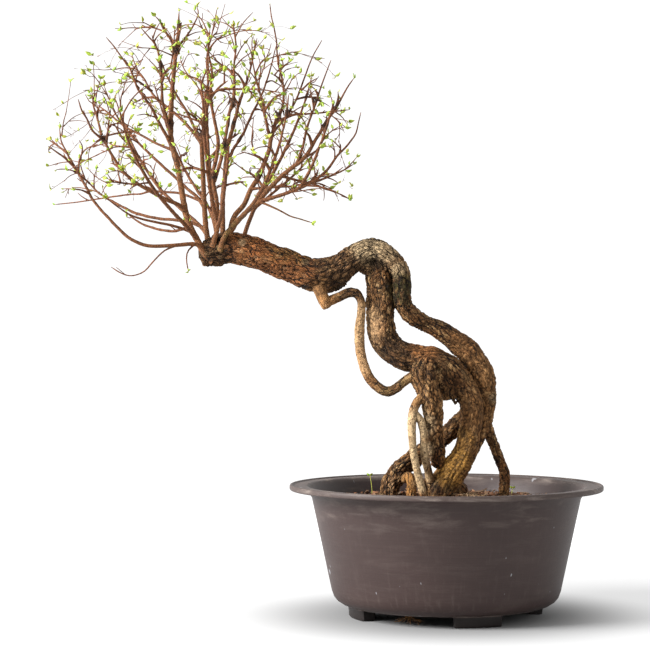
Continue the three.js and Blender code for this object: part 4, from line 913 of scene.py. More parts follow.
# Trunk and roots: tubes along the traced routes, fused, softened, then given bark in relief
barkShape = {
    "voxel": 1.16, "step": 4, "roundness": 6, "soften": 6, "fuller": 0.7,
    "lumps": 1.3, "fissures": 1.5, "flakes": 1.0, "pits": 2.2, "plate": 3.4, "range": (-3, 2.2),
    "reach": 1.5, "blend": 0.09, "evening": 22, "hollow": 1.6, "widening": (0.55, 0.045, 14),
    "bend": 0.55, "seam": 0.3, "steps": 5, "flakeWidth": 9, "flakeLength": 22, "shift": 40,
    "lumpScale": 0.055, "pitScale": 0.28,
}

# How rough each piece of wood is, and how long its bark plates run
barkOf = {
    "trunkAndOuterRoot": (0.75, 2.2), "mainRoot": (0.8, 2.0), "kneeRoot": (1.25, 2.6), "web": (1.0, 2.0),
    "webRoot": (0.2, 3), "crossingRoot": (1.2, 2.0), "paleRootLeft": (0.22, 3), "paleRootRight": (0.22, 3),
    "orangeRoot": (0.4, 2.5), "rightRoot": (0.6, 2.2), "baseMass": (0.9, 1.6), "cutStub": (0.15, 3),
    "loopRoot": (0.2, 3), "shadedJunctionWood": (1.0, 1.6), "endKnob": (1.2, 1), "kneeKnob": (1.0, 1),
    "elbowKnob": (0.7, 1),
}

# Patches of colour and form as seen from the front: (x, height, depth), radius, and what is strong there
barkPatches = [
    ((-236, 362, 0), 24, {"dark": 0.75, "rough": 1.1}),
    ((-204, 368, 0), 20, {"red": 0.85}),
    ((-180, 358, 0), 27, {"red": 1.0}),
    ((-150, 348, 0), 24, {"red": 0.85}),
    ((-190, 352, -10), 7, {"pits": 1.0, "dark": 0.4}),
    ((-180, 348, -10), 8, {"pits": 1.0, "dark": 0.5}),
    ((-168, 345, -10), 8, {"pits": 1.0, "dark": 0.4}),
    ((-158, 343, -10), 10, {"pits": 1.0, "dark": 0.5}),
    ((-190, 358, -10), 3.5, {"bone": 0.7}),
    ((-141, 352, -12), 4, {"bone": 0.6}),
    ((-204, 372, -12), 4, {"bone": 0.6}),
    ((-186, 366, -8), 5, {"dark": 0.7}),
    ((-165, 366, -4), 16, {"moss": 0.35}),
    ((-145, 360, -4), 12, {"moss": 0.4}),
    ((-134, 326, -6), 14, {"rough": 1.0, "dark": 0.6}),
    ((-128, 350, -6), 14, {"dark": 0.55}),
    ((-125, 320, -15), 15, {"tan": 0.8}),
    # painted shade: the wood under the junction of trunk and loop root is darkened as if in shadow
    ((-112, 332, 0), 16, {"dark": 0.9}),
    ((-100, 352, -6), 15, {"rough": 0.6, "pale": 0.15, "red": 0.3, "dark": 0.3}),
    ((-78, 371, -4), 20, {"pale": 0.95}),
    ((-60, 365, -6), 15, {"pale": 0.75, "red": 0.3}),
    ((-47, 345, -10), 9, {"pale": 0.7}),
    ((-44, 326, -9), 15, {"moss": 0.8, "dark": 0.85}),
    ((-70, 352, 4), 13, {"dark": 0.9}),
    ((-58, 330, 0), 9, {"dark": 0.8}),
    ((-72, 300, -8), 13, {"tan": 0.2}),
    ((-68, 288, -6), 9, {"red": 0.6, "tan": 0.4}),
    ((-52, 262, -4), 20, {"dark": 0.75}),
    ((-36, 248, -4), 14, {"dark": 0.55}),
    ((-22, 268, -8), 15, {"red": 0.9, "tan": 0.35}),
    ((-20, 226, -26), 17, {"tan": 0.35}),
    ((16, 272, 6), 14, {"tan": 0.5, "red": 0.3}),
    ((36, 215, 4), 12, {"tan": 0.45}),
    ((8, 232, -4), 12, {"dark": 0.45, "red": 0.3}),
    ((-14, 196, -26), 24, {"tan": 0.45}),
    ((-11, 156, -20), 12, {"red": 0.7, "dark": 0.4}),
    ((10, 156, -16), 14, {"ochre": 1.0, "tan": 0.2}),
    ((4, 138, -18), 13, {"ochre": 1.0}),
    ((16, 175, -12), 12, {"ochre": 0.5}),
    ((-2, 122, -14), 14, {"dark": 0.85}),
    ((20, 132, -6), 12, {"dark": 0.4, "red": 0.4}),
    ((-37, 130, -14), 12, {"ochre": 0.4, "red": 0.6, "dark": 0.3}),
    ((-50, 128, -4), 10, {"red": 0.35, "pale": 0.3}),
    ((-28, 190, -32), 16, {"bone": 1.0}),
    ((-30, 160, -34), 17, {"bone": 1.0}),
    ((-24, 135, -38), 12, {"bone": 0.9}),
    ((-20, 165, -28), 9, {"bone": 0.9}),
    ((-86, 290, -9), 22, {"bone": 0.45, "tan": 0.7}),
    ((-84, 258, -9), 18, {"bone": 0.3, "tan": 0.7}),
    ((-96, 321, -9), 13, {"dark": 0.7}),
    ((-52, 226, -19), 16, {"dark": 0.35, "moss": 0.3}),
    ((55, 140, 20), 18, {"red": 0.3}),
    ((47, 153, 14), 7, {"dark": 0.9}),
    ((48, 217, 8), 6, {"pale": 0.6}),
    # painted light: tan on the wood right of the pot's axis, which faces away from the key light, to
    # lighten its shaded side
    ((44, 243, 6), 26, {"tan": 0.5}),
    ((26, 160, -2), 20, {"tan": 0.4}),
    ((30, 200, -4), 22, {"tan": 0.55}),
]

barkColours = ("red", "pale", "dark", "moss", "tan", "ochre", "bone")
barkMarks = (*barkColours, "pits", "rough")


def fusedWood(shape):
    strands = {name: stepsAlong(pathOf(route), shape["step"]) for name, route in trunkRoutes.items()}
    wood = tubes("wood", list(strands.values()), shape["roundness"])
    wood.data.remesh_voxel_size = shape["voxel"] * mm
    bpy.ops.object.voxel_remesh()
    wood = bpy.context.object
    smooth = wood.modifiers.new("soften", "SMOOTH")
    smooth.factor = 0.6
    smooth.iterations = shape["soften"]
    bpy.ops.object.modifier_apply(modifier=smooth.name)
    return wood, strands


# For each vertex and each route near it: how strongly it belongs, and its place in the wood's own grain
def grainPlaces(points, strands, shape):
    found = {}
    for name, (centres, radii) in strands.items():
        tangents = np.gradient(centres, axis=0)
        tangents /= np.linalg.norm(tangents, axis=1, keepdims=True)
        along = np.concatenate([[0], np.cumsum(np.linalg.norm(np.diff(centres, axis=0), axis=1))])
        across = [np.cross(tangents[0], (0.3, 1, 0.2))]
        for tangent in tangents[1:]:
            across.append(across[-1] - tangent * np.dot(across[-1], tangent))
            across[-1] /= np.linalg.norm(across[-1])
        across[0] /= np.linalg.norm(across[0])
        across = np.array(across)
        over = np.cross(tangents, across)
        low, high = centres.min(0) - radii.max() * 1.6, centres.max(0) + radii.max() * 1.6
        near = np.flatnonzero(((points > low) & (points < high)).all(1))
        offsets = points[near, None, :] - centres[None]
        gaps = np.linalg.norm(offsets, axis=2) / radii
        nearest = gaps.argmin(1)
        row = np.arange(len(near))
        offset, gap = offsets[row, nearest], gaps[row, nearest]
        kept = gap < shape["reach"]
        near, offset, gap, nearest = near[kept], offset[kept], gap[kept], nearest[kept]
        local = np.stack([
            (offset * across[nearest]).sum(1), (offset * over[nearest]).sum(1),
            (offset * tangents[nearest]).sum(1) + along[nearest],
        ], 1)
        weight = np.exp(-((np.maximum(gap, 1) - 1) / shape["blend"]) ** 2) + 1e-4
        found[name] = near, weight, local, radii[nearest]
    return found


# Points drawn towards the mean of their neighbours, over and over
def evened(points, pairs, rounds):
    count = len(points)
    degree = np.bincount(pairs.ravel(), minlength=count)[:, None]
    for _ in range(rounds):
        total = np.stack([
            np.bincount(pairs[:, 0], points[pairs[:, 1], k], count)
            + np.bincount(pairs[:, 1], points[pairs[:, 0], k], count) for k in range(3)], 1)
        points = points * 0.4 + 0.6 * total / degree
    return points


# How strongly each vertex has each mark, from the patches
def patchMarks(points):
    front = seen(points)
    marks = {name: np.zeros(len(points)) for name in barkMarks}
    for place, radius, strong in barkPatches:
        away = np.linalg.norm((front - place) * (1, 1, 0.6), axis=1) / radius
        fade = np.clip(2.5 - 2 * away, 0, 1)
        for name, strength in strong.items():
            marks[name] = np.maximum(marks[name], strength * fade)
    return marks


# Where the three parts of a noise vector are read, since noise.noise_vector differs from run to run
bendPlaces = [Vector((9.3, -1.5, -7.9)), Vector((0, 0, 0)), Vector((-4.1, 3.2, 11.7))]


# Plates with cracks between them and stepped flakes, in the grain of the wood that each vertex belongs to
def barkRelief(places, marks, shape):
    count = len(marks["red"])
    total, rise, crack, plate, thick = np.zeros((5, count))
    for index, (name, (near, weight, local, radius)) in enumerate(places.items()):
        roughness, plateLength = barkOf[name]
        least, more, widest = shape["widening"]
        cell = shape["plate"] * (least + more * np.minimum(radius, widest))
        thick[near] = np.maximum(thick[near], radius * (weight > 0.2))
        for k, i in enumerate(near):
            a, b, s = local[k]
            shift = shape["shift"] * index
            spot = Vector((a / cell[k] + shift, b / cell[k], s / (cell[k] * plateLength)))
            bend = Vector([noise.noise(spot * 0.7 + place) for place in bendPlaces])
            distances, cells = noise.voronoi(spot + shape["bend"] * bend)
            seam = min(1, (distances[1] - distances[0]) / shape["seam"])
            patch = Vector((
                a / shape["flakeWidth"], b / shape["flakeWidth"] + shift, s / shape["flakeLength"]))
            flake = math.floor(shape["steps"] * noise.fractal(patch, 1, 2, 3)) / shape["steps"]
            rough = roughness * (1 + 0.8 * marks["rough"][i]) * (1 - 0.3 * marks["red"][i])
            layers = shape["fissures"] * (seam - 0.75)
            layers += shape["flakes"] * (flake + 0.5 * noise.noise(spot * 1.9))
            total[i] += weight[k]
            rise[i] += weight[k] * rough * layers
            crack[i] += weight[k] * (1 - seam) * min(1, rough)
            plate[i] += weight[k] * (0.5 + 0.5 * noise.cell(cells[0] * 7.3))
    total = np.maximum(total, 1e-6)
    return rise / total, crack / total, plate / total, thick


# Each vertex's place in the grain of the wood that it lies nearest, in metres, its length last
def grainOf(places, count):
    grain, best = np.zeros((count, 3)), np.zeros(count)
    for index, (near, weight, local, _) in enumerate(places.values()):
        nearer = weight > best[near]
        grain[near[nearer]] = (local[nearer] + (90 * index, 0, 0)) * mm
        best[near[nearer]] = weight[nearer]
    return grain


def makeTrunk(shape):
    wood, strands = fusedWood(shape)
    points, normals = fromFrame(verticesOf(wood)), normalsOf(wood)
    marks = patchMarks(points)
    places = grainPlaces(points, strands, shape)
    rise, crack, plate, thick = barkRelief(places, marks, shape)
    lumps = np.array([noise.fractal(Vector(p) * shape["lumpScale"], 1, 2, 3) for p in points])
    pits = np.array([noise.voronoi(Vector(p) * shape["pitScale"])[0][0] for p in points])
    hole = np.clip((0.36 - pits) / 0.2, 0, 1) * marks["pits"]
    rise += (shape["fuller"] + shape["lumps"] * lumps) * np.clip(thick / 10, 0.15, 1.2)
    rise -= shape["pits"] * hole
    low, high = (fromFrame(corner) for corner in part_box("trunk_and_roots"))
    moved = np.clip(points + normals * np.clip(rise, *shape["range"])[:, None], low, high)
    moveVertices(wood, inFrame(moved))

    # Painted shade: how far each vertex sinks below its smoothed neighbours, as in the hollows between
    # fused tubes, is stored to darken the bark there
    pairs = readFrom(wood.data.edges, "vertices", 2, np.int32)
    hollow = ((evened(moved, pairs, shape["evening"]) - moved) * normals).sum(1)
    paint(wood, "creviceShade", np.clip(hollow / shape["hollow"], 0, 1))
    paint(wood, "crack", np.clip(crack + hole, 0, 1))
    paint(wood, "plate", plate)
    grain = wood.data.attributes.new("grain", "FLOAT_VECTOR", "POINT")
    grain.data.foreach_set("vector", grainOf(places, len(points)).ravel())
    for name in barkColours:
        paint(wood, name, marks[name])
    return smoothed(wood)


barkLook = {
    "brown": (156, 110, 66), "umber": (74, 50, 30), "tan": (224, 182, 126),
    "red": (178, 108, 58), "pale": (224, 194, 150), "moss": (96, 102, 46), "dark": (34, 23, 14),
    "ochre": (232, 172, 84), "bone": (234, 204, 158), "crack": (26, 16, 9),
    "tanWood": (192, 138, 84), "lichen": (206, 184, 146), "shine": 0.2, "lengthwise": 0.38,
}


def bark(look):
    shade = Shade("bark")
    blotches, wide = shade.grain(95, 4, 0.62), shade.grain(30, 3, 0.6)
    fine, speckle = shade.grain(420, 4, 0.7), shade.grain(950, 3, 0.75)
    plate, crack, creviceShade = (shade.painted(name) for name in ("plate", "crack", "creviceShade"))
    red, pale, dark, moss, tan, ochre, bone = (shade.painted(name) for name in barkColours)
    grain = shade.node("Attribute", {"attribute_name": "grain"}, {}, "Vector")
    lengthwise = shade.node("Mapping", {}, {"Vector": grain, "Scale": (1, 1, look["lengthwise"])})
    flake, edge = shade.cells(400, 0.005, lengthwise)
    scale, seam = shade.cells(190, 0.01, lengthwise)
    fibre = shade.grain(520, 4, 0.7, where=lengthwise)
    smooth = (bone + tan + ochre * 0.6).clipped()
    scaly = 1 - smooth * 0.8
    light = flake * 0.25 + scale * 0.4 + plate * 0.3 + fibre * 0.8 + speckle * 0.3 - 0.69
    lines = (1 - edge.over(0.0, 0.12)) * fine.over(0.42, 0.52) * 0.6
    gaps = (1 - seam.over(0.0, 0.11)) * blotches.over(0.4, 0.52)
    ridges = edge.over(0.0, 0.16) * 0.35 + seam.over(0.0, 0.12) * 0.7 + flake * 0.15 + scale * 0.4
    return shade.surfaced({
        "Base Color": shade.layered(
            look, "umber",
            ("brown", blotches * 1.1 + light * 0.9 - 0.1),
            ("tan", light.over(0.25, 0.6) * wide.over(0.3, 0.6) * 0.85),
            ("red", wide.over(0.5, 0.68) * 0.35 * plate),
            ("red", red * (blotches * 1.3 + light * 0.4)),
            ("tanWood", tan * (blotches * 0.7 + 0.55)),
            ("ochre", ochre * (blotches * 1.1 + 0.3)),
            ("bone", bone * (fine * 0.6 + 0.55)),
            ("pale", pale * (light + 0.35).over(0.12, 0.5)),
            ("lichen", plate.over(0.8, 0.95) * fine.over(0.45, 0.6) * 0.3),
            ("moss", moss * (blotches + flake * 0.4).over(0.5, 0.8)),
            ("dark", dark * (blotches * 0.6 + flake * 0.6).over(0.3, 0.65) * 0.85),
            ("crack", speckle.over(0.52, 0.62) * scaly * 0.65),
            ("umber", smooth * (fine.over(0.48, 0.58) * 0.6 + speckle.over(0.5, 0.58) * 0.5)),
            ("crack", (lines + gaps) * scaly),
            ("crack", crack * 0.9),
            # painted shade in the hollows between the fused tubes
            ("dark", creviceShade * 0.9)),
        "Roughness": 0.6 + fine * 0.35,
        "Specular IOR Level": look["shine"],
        "Normal": shade.relief(ridges * scaly + fibre * 0.8 + speckle * 0.4 + blotches * 0.4, 0.0017, 1.0),
    })


trunkPiece = makeTrunk(barkShape)
finished(trunkPiece, "trunkAndRoots", bark(barkLook), "bark", "trunk_and_roots")


# Crown: the traced limbs, the boughs and twigs that the solids have, and finer twigs and spurs between them
crownShape = {
    "centre": (-242, 0, 458), "radii": (159, 138, 155), "floor": -0.3, "seed": 4211,
    "boughs": 46, "twigs": 132, "limbStep": 23, "twigStep": 21, "budsPerRun": 3, "budSpacing": 3.5,
    "clearance": 0.6, "trunkStep": 13, "boughRadius": 1.5, "twigRadius": 0.95,
    "fineTwigs": 760, "fineRadius": 0.68, "fineReach": 58, "nodeGap": 8.5, "spurShare": 0.34, "slim": 0.8,
    "thickest": 1.45, "stub": 1.7, "limb": (4.2, 0.35), "twig": (4.6, 0.5), "thickestSpurred": 2.6,
    "spurLength": (2, 7), "nearest": 9, "ahead": 0.35, "tries": 6, "within": 40,
    "nodeWidth": 1.3, "nodeSwell": 0.2, "collar": (0.4, 3.2), "fadeIn": 12,
}


# The shoots are numbered from 1
shootNumbers = range(1, len(shootRoutes) + 1)


# More rows laid under those that each array has
def extend(rows, more):
    for name, values in more.items():
        rows[name] = np.concatenate([rows[name], values]) if name in rows else values


def segmentGaps(start, end, starts, ends):
    u, v, w = ends - starts, end - start, starts - start
    a, b, c = (u * u).sum(1), u @ v, v @ v
    d, e = (u * w).sum(1), w @ v
    slant = a * c - b * b
    s = np.where(slant > 1e-9, np.clip((b * e - c * d) / np.where(slant > 1e-9, slant, 1), 0, 1), 0)
    t = np.clip((b * s + e) / c, 0, 1)
    s = np.clip((b * t - d) / a, 0, 1)
    return np.linalg.norm(w + u * s[:, None] - v[None] * t[:, None], axis=1)


def stretchesOf(path, owner, step):
    centres, radii = stepsAlong(path, step)
    return {
        "a": centres[:-1], "b": centres[1:], "radius": np.maximum(radii[:-1], radii[1:]),
        "owner": np.full(len(radii) - 1, owner),
    }


def budsOf(path, owner, step, start, shape):
    centres, radii = stepsAlong(path, step)
    count = len(radii) - 1
    part = np.arange(shape["budsPerRun"]) / shape["budsPerRun"]
    runs = np.diff(centres, axis=0)
    tangents = runs / np.linalg.norm(runs, axis=1, keepdims=True)
    along = (np.arange(count)[:, None] + part) / count
    kept = (along >= start).ravel()
    return {
        "point": (centres[:-1, None] + runs[:, None] * part[None, :, None]).reshape(-1, 3)[kept],
        "tangent": np.repeat(tangents, len(part), 0)[kept],
        "radius": (radii[:-1, None] + np.diff(radii)[:, None] * part).ravel()[kept],
        "owner": np.full(kept.sum(), owner), "used": np.zeros(kept.sum()),
    }


# The aims of new wood: even over the dome of the crown, out to its furthest tips
def crownAims(count, reach, spread, draw, shape):
    aims = []
    turn = math.pi * (3 - math.sqrt(5))
    for i in range(count):
        up = 1 - (1 - shape["floor"]) * (i + 0.5) / count
        angle = i * turn + 0.5 * draw()
        size = reach - spread * draw()
        flat = math.sqrt(1 - up * up)
        way = np.array((flat * math.cos(angle), flat * math.sin(angle), up))
        aims.append(shape["centre"] + shape["radii"] * (size * way))
    return aims


# New wood from the nearest bud that points towards the aim
def reachFor(aim, buds, taken, thickness, bow, shape, furthest=1e9):
    way = aim - buds["point"]
    distance = np.linalg.norm(way, axis=1)
    forward = (way * buds["tangent"]).sum(1) / np.maximum(distance, 1e-9)
    fit = np.flatnonzero((buds["used"] == 0) & (distance > shape["nearest"])
                         & (forward > shape["ahead"]) & (distance < furthest))
    rate = distance[fit] * (1.6 - 0.6 * forward[fit])
    for i in fit[np.argsort(rate, kind="stable")[:shape["tries"]]]:
        middle = buds["point"][i] + 0.5 * way[i] + buds["tangent"][i] * (distance[i] * bow)
        start = min(thickness, buds["radius"][i] * 0.85)
        path = np.array([buds["point"][i], middle, aim]), start * np.array([1, 0.85, 0.65])
        owner = buds["owner"][i]
        mine = stretchesOf(path, owner, shape["twigStep"])
        if taken is None or isClear(mine, taken, shape):
            near = np.linalg.norm(buds["point"] - buds["point"][i], axis=1) < shape["budSpacing"]
            buds["used"][near] = 1
            return path, int(owner), mine
    return None


def isClear(mine, taken, shape):
    other = taken["owner"] != mine["owner"][0]
    for start, end, radius in zip(mine["a"], mine["b"], mine["radius"]):
        near = other & (np.abs(taken["a"][:, 2] - start[2]) <= shape["within"])
        gaps = segmentGaps(start, end, taken["a"][near], taken["b"][near])
        if (gaps <= radius + taken["radius"][near] + shape["clearance"]).any():
            return False
    return True


def growCrown(shape):
    draw = makeDraw(shape["seed"])
    taken, buds = {}, {}
    limbs, twigs = [], []
    for route in trunkRoutes.values():
        extend(taken, stretchesOf(pathOf(route), 0, shape["trunkStep"]))
    for owner, routes in enumerate(shootRoutes.values(), 1):
        for part, route in routes.items():
            path = pathOf(route)
            limbs.append((path, owner))
            extend(taken, stretchesOf(path, owner, shape["limbStep"]))
            extend(buds, budsOf(path, owner, shape["limbStep"], 0.4 if part == "stem" else 0.25, shape))

    def grow(aims, thickness, bow, clear=True, furthest=1e9):
        for aim in aims:
            draw()
            grown = reachFor(aim, buds, taken if clear else None, thickness, bow, shape, furthest)
            if grown:
                path, owner, stretches = grown
                extend(taken, stretches)
                extend(buds, budsOf(path, owner, shape["twigStep"], 0.3, shape))
                twigs.append((path, owner))

    grow(crownAims(shape["boughs"], 0.84, 0.26, draw, shape), shape["boughRadius"], 0.1)
    grow(crownAims(shape["twigs"], 1, 0.16, draw, shape), shape["twigRadius"], 0.08)
    inSolids = len(twigs)
    fineAims = crownAims(shape["fineTwigs"], 1.0, 0.5, draw, shape)
    grow(fineAims, shape["fineRadius"], 0.1, False, shape["fineReach"])
    print("crown grew", len(limbs), "limbs,", inSolids, "twigs and", len(twigs) - inSolids, "fine twigs")
    return limbs, twigs


# A strand with swollen nodes, a slight zigzag, a collar where it leaves its parent and a thin tip
def grownStrand(path, step, shape, draw, wobble, tip):
    centres, radii = stepsAlong(path, step)
    count = len(radii)
    lengths = np.linalg.norm(np.diff(centres, axis=0), axis=1)
    along = np.concatenate([[0], np.cumsum(lengths)])
    node = along / shape["nodeGap"] + draw()
    nearNode = np.exp(-((node - np.round(node)) * shape["nodeGap"] / shape["nodeWidth"]) ** 2)
    side = np.cross(centres[-1] - centres[0], (draw() - 0.5, draw() - 0.5, draw() - 0.5))
    side /= np.linalg.norm(side) + 1e-9
    zigzag = np.where(np.floor(node) % 2 == 0, 1, -1) * (np.abs((node % 1) - 0.5) * 2 - 0.5)
    fade = np.clip(np.minimum(along, along[-1] - along * 0.6) / shape["fadeIn"], 0, 1)
    shifted = centres + side * (zigzag * wobble * fade)[:, None]
    slim = shape["slim"] if radii[0] > shape["boughRadius"] else 1
    wider, length = shape["collar"]
    collar = wider * radii[0] * np.exp(-along / length)
    swollen = radii * slim * (1 + shape["nodeSwell"] * nearNode) + collar
    if tip:
        swollen[-1] = 0.3
        swollen[-2] = min(swollen[-2], 0.66)
    return shifted, swollen, along, nearNode


# Short spurs at the nodes of a strand, and their tips, which can carry leaves
def spursOf(strand, owner, shape, draw):
    centres, radii, along, nearNode = strand
    spurs, tips = [], []
    for i in range(2, len(radii) - 1):
        peak = nearNode[i] > 0.55 and nearNode[i] >= nearNode[i - 1] and nearNode[i] > nearNode[i + 1]
        outer = np.linalg.norm((centres[i] - shape["centre"]) / shape["radii"])
        if not peak or radii[i] > shape["thickestSpurred"] or draw() > shape["spurShare"] * (0.35 + outer):
            continue
        forward = unit(centres[i + 1] - centres[i - 1])
        side = np.cross(forward, (draw() - 0.5, draw() - 0.5, draw() - 0.5))
        side /= np.linalg.norm(side) + 1e-9
        way = unit(forward * 0.75 + side)
        shortest, longer = shape["spurLength"]
        length = shortest + longer * draw() ** 2
        bent = way + forward * 0.35 + (0, 0, 0.15)
        points = centres[i] + np.array([
            (0, 0, 0), way * (length * 0.55 + radii[i] * 0.6), way * radii[i] + bent * length])
        start = min(0.6, radii[i] * 0.7)
        spurs.append((points, np.array([start, start * 0.9, 0.3])))
        tips.append((owner, points[-1], unit(bent), outer))
    return spurs, tips


def crownStrands(shape, draw, limbs, twigs):
    strands, tips = {owner: {"thick": [], "thin": [], "spurs": []} for owner in shootNumbers}, []
    for number, (path, owner) in enumerate(limbs + twigs):
        step, wobble = shape["limb"] if number < len(limbs) else shape["twig"]
        stub = path[1][-1] > shape["stub"]
        strand = grownStrand(path, step, shape, draw, wobble, not stub)
        strands[owner]["thick" if path[1][0] > shape["thickest"] else "thin"].append(strand[:2])
        spurs, spurTips = spursOf(strand, owner, shape, draw)
        strands[owner]["spurs"] += spurs
        tips += spurTips
        if not stub:
            tips.append((owner, strand[0][-1], unit(strand[0][-1] - strand[0][-2]), 1.1))
    return strands, tips


crownWood = {
    "young": (130, 79, 48), "deep": (82, 47, 27), "old": (142, 96, 58), "grey": (160, 130, 92),
    "knob": (36, 23, 16), "fresh": (108, 98, 50), "shine": 0.25, "freshShoot": 7, "freshBelow": 420,
}


def twigBark(look):
    shade = Shade("twigBark")
    blotches, fine = shade.grain(120, 3, 0.6), shade.grain(520, 4, 0.7)
    lengthwise = shade.grain(1, 3, 0.6, where=shade.spread((420, 420, 60)))
    thick, fresh, knob = (shade.painted(name) for name in ("thick", "fresh", "knob"))
    return shade.surfaced({
        "Base Color": shade.layered(
            look, "deep", ("young", blotches * 1.4 - 0.15), ("old", thick * (blotches * 0.9 + fine * 0.5)),
            ("grey", thick * fine.over(0.5, 0.7) * 0.7), ("fresh", fresh * blotches.over(0.35, 0.65) * 0.6),
            ("knob", knob * 0.8 + fine.over(0.49, 0.58) * 0.7)),
        "Roughness": 0.6 + fine * 0.25,
        "Specular IOR Level": look["shine"],
        "Normal": shade.relief(fine + lengthwise * 0.6, 0.0008, 0.8),
    })


# Where old cuts have healed dark and thick, as seen from the front
pruningKnobs = [
    (-232, 347), (-228, 353),
    (-267, 591), (-270, 565), (-245, 482), (-168, 500), (-213, 513), (-286, 549), (-275, 490), (-160, 503),
    (-141, 520), (-130, 515), (-110, 510), (-105, 560), (-342, 476), (-274, 455), (-232, 438), (-222, 470),
    (-208, 478), (-214, 492), (-187, 440), (-122, 490),
]


def makeShoot(owner, strands, material):
    layers, rings = [], []
    for kind, roundness in (("thick", 2), ("thin", 1), ("spurs", 0)):
        chosen = strands[owner][kind]
        if chosen:
            layers.append(tubes("strands", chosen, roundness))
            rings += [ring for strand in chosen for ring in zip(*strand)]
    whole = joined(layers)
    bpy.ops.object.mode_set(mode="EDIT")
    bpy.ops.mesh.select_all(action="SELECT")
    bpy.ops.mesh.remove_doubles(threshold=1e-6)
    bpy.ops.object.mode_set(mode="OBJECT")
    points = fromFrame(verticesOf(whole))
    tree = KDTree(len(rings))
    for i, (centre, _) in enumerate(rings):
        tree.insert(centre, i)
    tree.balance()
    thick = np.array([rings[tree.find(point)[1]][1] for point in points])
    paint(whole, "thick", np.clip((thick - 0.9) / 2.2, 0, 1))
    front = seen(points)
    knob = np.zeros(len(points))
    for x, height in pruningKnobs:
        away = np.hypot(front[:, 0] - x, front[:, 1] - height)
        knob = np.maximum(knob, np.clip(1.4 - away / 4, 0, 1))
    rough = np.array([noise.noise(Vector(p) * 0.45) for p in points])
    grown = normalsOf(whole) * (knob * (0.7 + 0.9 * rough))[:, None]
    moveVertices(whole, inFrame(held(points + grown, 0.3)))
    paint(whole, "knob", np.clip(knob, 0, 1))
    low = np.clip((crownWood["freshBelow"] - points[:, 2]) / 40, 0, 1)
    paint(whole, "fresh", low * (owner == crownWood["freshShoot"]))
    finished(smoothed(whole, 50), f"shootWood.{owner}", material, "shoot_bark", f"shoot_{owner}")


twigMaterial = twigBark(crownWood)
crownParts, leafTips = crownStrands(crownShape, makeDraw(90210), *growCrown(crownShape))
for shootNumber in shootNumbers:
    makeShoot(shootNumber, crownParts, twigMaterial)


# Leaves: tiny folded blades in twos and threes at tips and spurs
leafShape = {
    "seed": 3307, "share": 0.62, "inside": 0.06, "smallest": 3, "largest": 7,
    "width": 0.5, "thickness": 0.045, "fullest": 3,
}


def leafBlade(shape):
    bpy.ops.mesh.primitive_grid_add(x_subdivisions=5, y_subdivisions=2, size=1, location=(0.5, 0, 0))
    bpy.ops.object.transform_apply()
    blade = bpy.context.object
    for vertex in blade.data.vertices:
        x, y, z = vertex.co
        wide = math.sin(math.pi * min(0.97, max(0.04, x)) ** 0.85) * shape["width"]
        vertex.co = (x, y * wide, 0.30 * abs(y) * wide * 2 - 0.28 * x * x + 0.02)
    wall = blade.modifiers.new("thickness", "SOLIDIFY")
    wall.thickness = shape["thickness"]
    bpy.ops.object.modifier_apply(modifier=wall.name)
    return blade


# The turn that carries +X onto a direction, as a matrix, with some roll about it
def aimed(way, roll):
    side = unit(np.cross(way, (math.cos(roll), math.sin(roll), 0.3)))
    return np.stack([way, side, np.cross(way, side)], 1)


def makeLeaves(shape, tips, material):
    draw = makeDraw(shape["seed"])
    blade = leafBlade(shape)
    corners = verticesOf(blade)
    for owner in shootNumbers:
        copies, tints = [], []
        for tipOwner, tip, way, outer in tips:
            chance = draw()
            if tipOwner != owner or chance > shape["share"] * min(1, max(shape["inside"], outer ** 4)):
                continue
            for _ in range(1 + int(draw() * shape["fullest"])):
                out = unit(way * 0.7 + np.array([draw() - 0.5, draw() - 0.5, draw() - 0.25]) * 1.5)
                size = shape["smallest"] + (shape["largest"] - shape["smallest"]) * draw() ** 1.3
                copies.append(tip - way * 0.4 + (corners * size) @ aimed(out, draw() * 6.3).T)
                tints.append(draw())
        leaves = gathered("leaves", blade, held(np.array(copies), 0.2))
        paint(leaves, "each", np.repeat(tints, len(corners)))
        paint(leaves, "reach", np.tile(corners[:, 0], len(tints)))
        finished(smoothed(leaves), f"shootLeaves.{owner}", material, "young_leaf")
    bpy.data.objects.remove(blade)


leafLook = {
    "lime": (156, 180, 54), "green": (110, 148, 36), "straw": (186, 182, 96), "tip": (160, 132, 66),
}


def leafGreen(look):
    shade = Shade("leafGreen")
    each, fine = shade.painted("each"), shade.grain(900, 3, 0.6)
    return shade.surfaced({
        "Base Color": shade.layered(
            look, "lime", ("green", each * 1.6 - 0.7), ("straw", (1 - each * 3.2).clipped() * 0.8),
            ("tip", shade.painted("reach").over(0.75, 1.05) * 0.25 + fine.over(0.5, 0.8) * 0.2)),
        "Roughness": 0.42 + fine * 0.2,
        "Normal": shade.relief(fine, 0.0002, 0.4),
        "Subsurface Weight": 0.15,
        "Subsurface Scale": 0.002,
    })


leafMaterial = leafGreen(leafLook)
makeLeaves(leafShape, leafTips, leafMaterial)


# Seedlings: a thin bent stem with two seed leaves
seedlingShapes = [
    {"name": "seedling_1", "x": -72, "y": 78, "height": 20, "lean": -2.5, "spread": 4},
    {"name": "seedling_2", "x": 72, "y": 72, "height": 8, "lean": 1, "spread": 3.6},
]


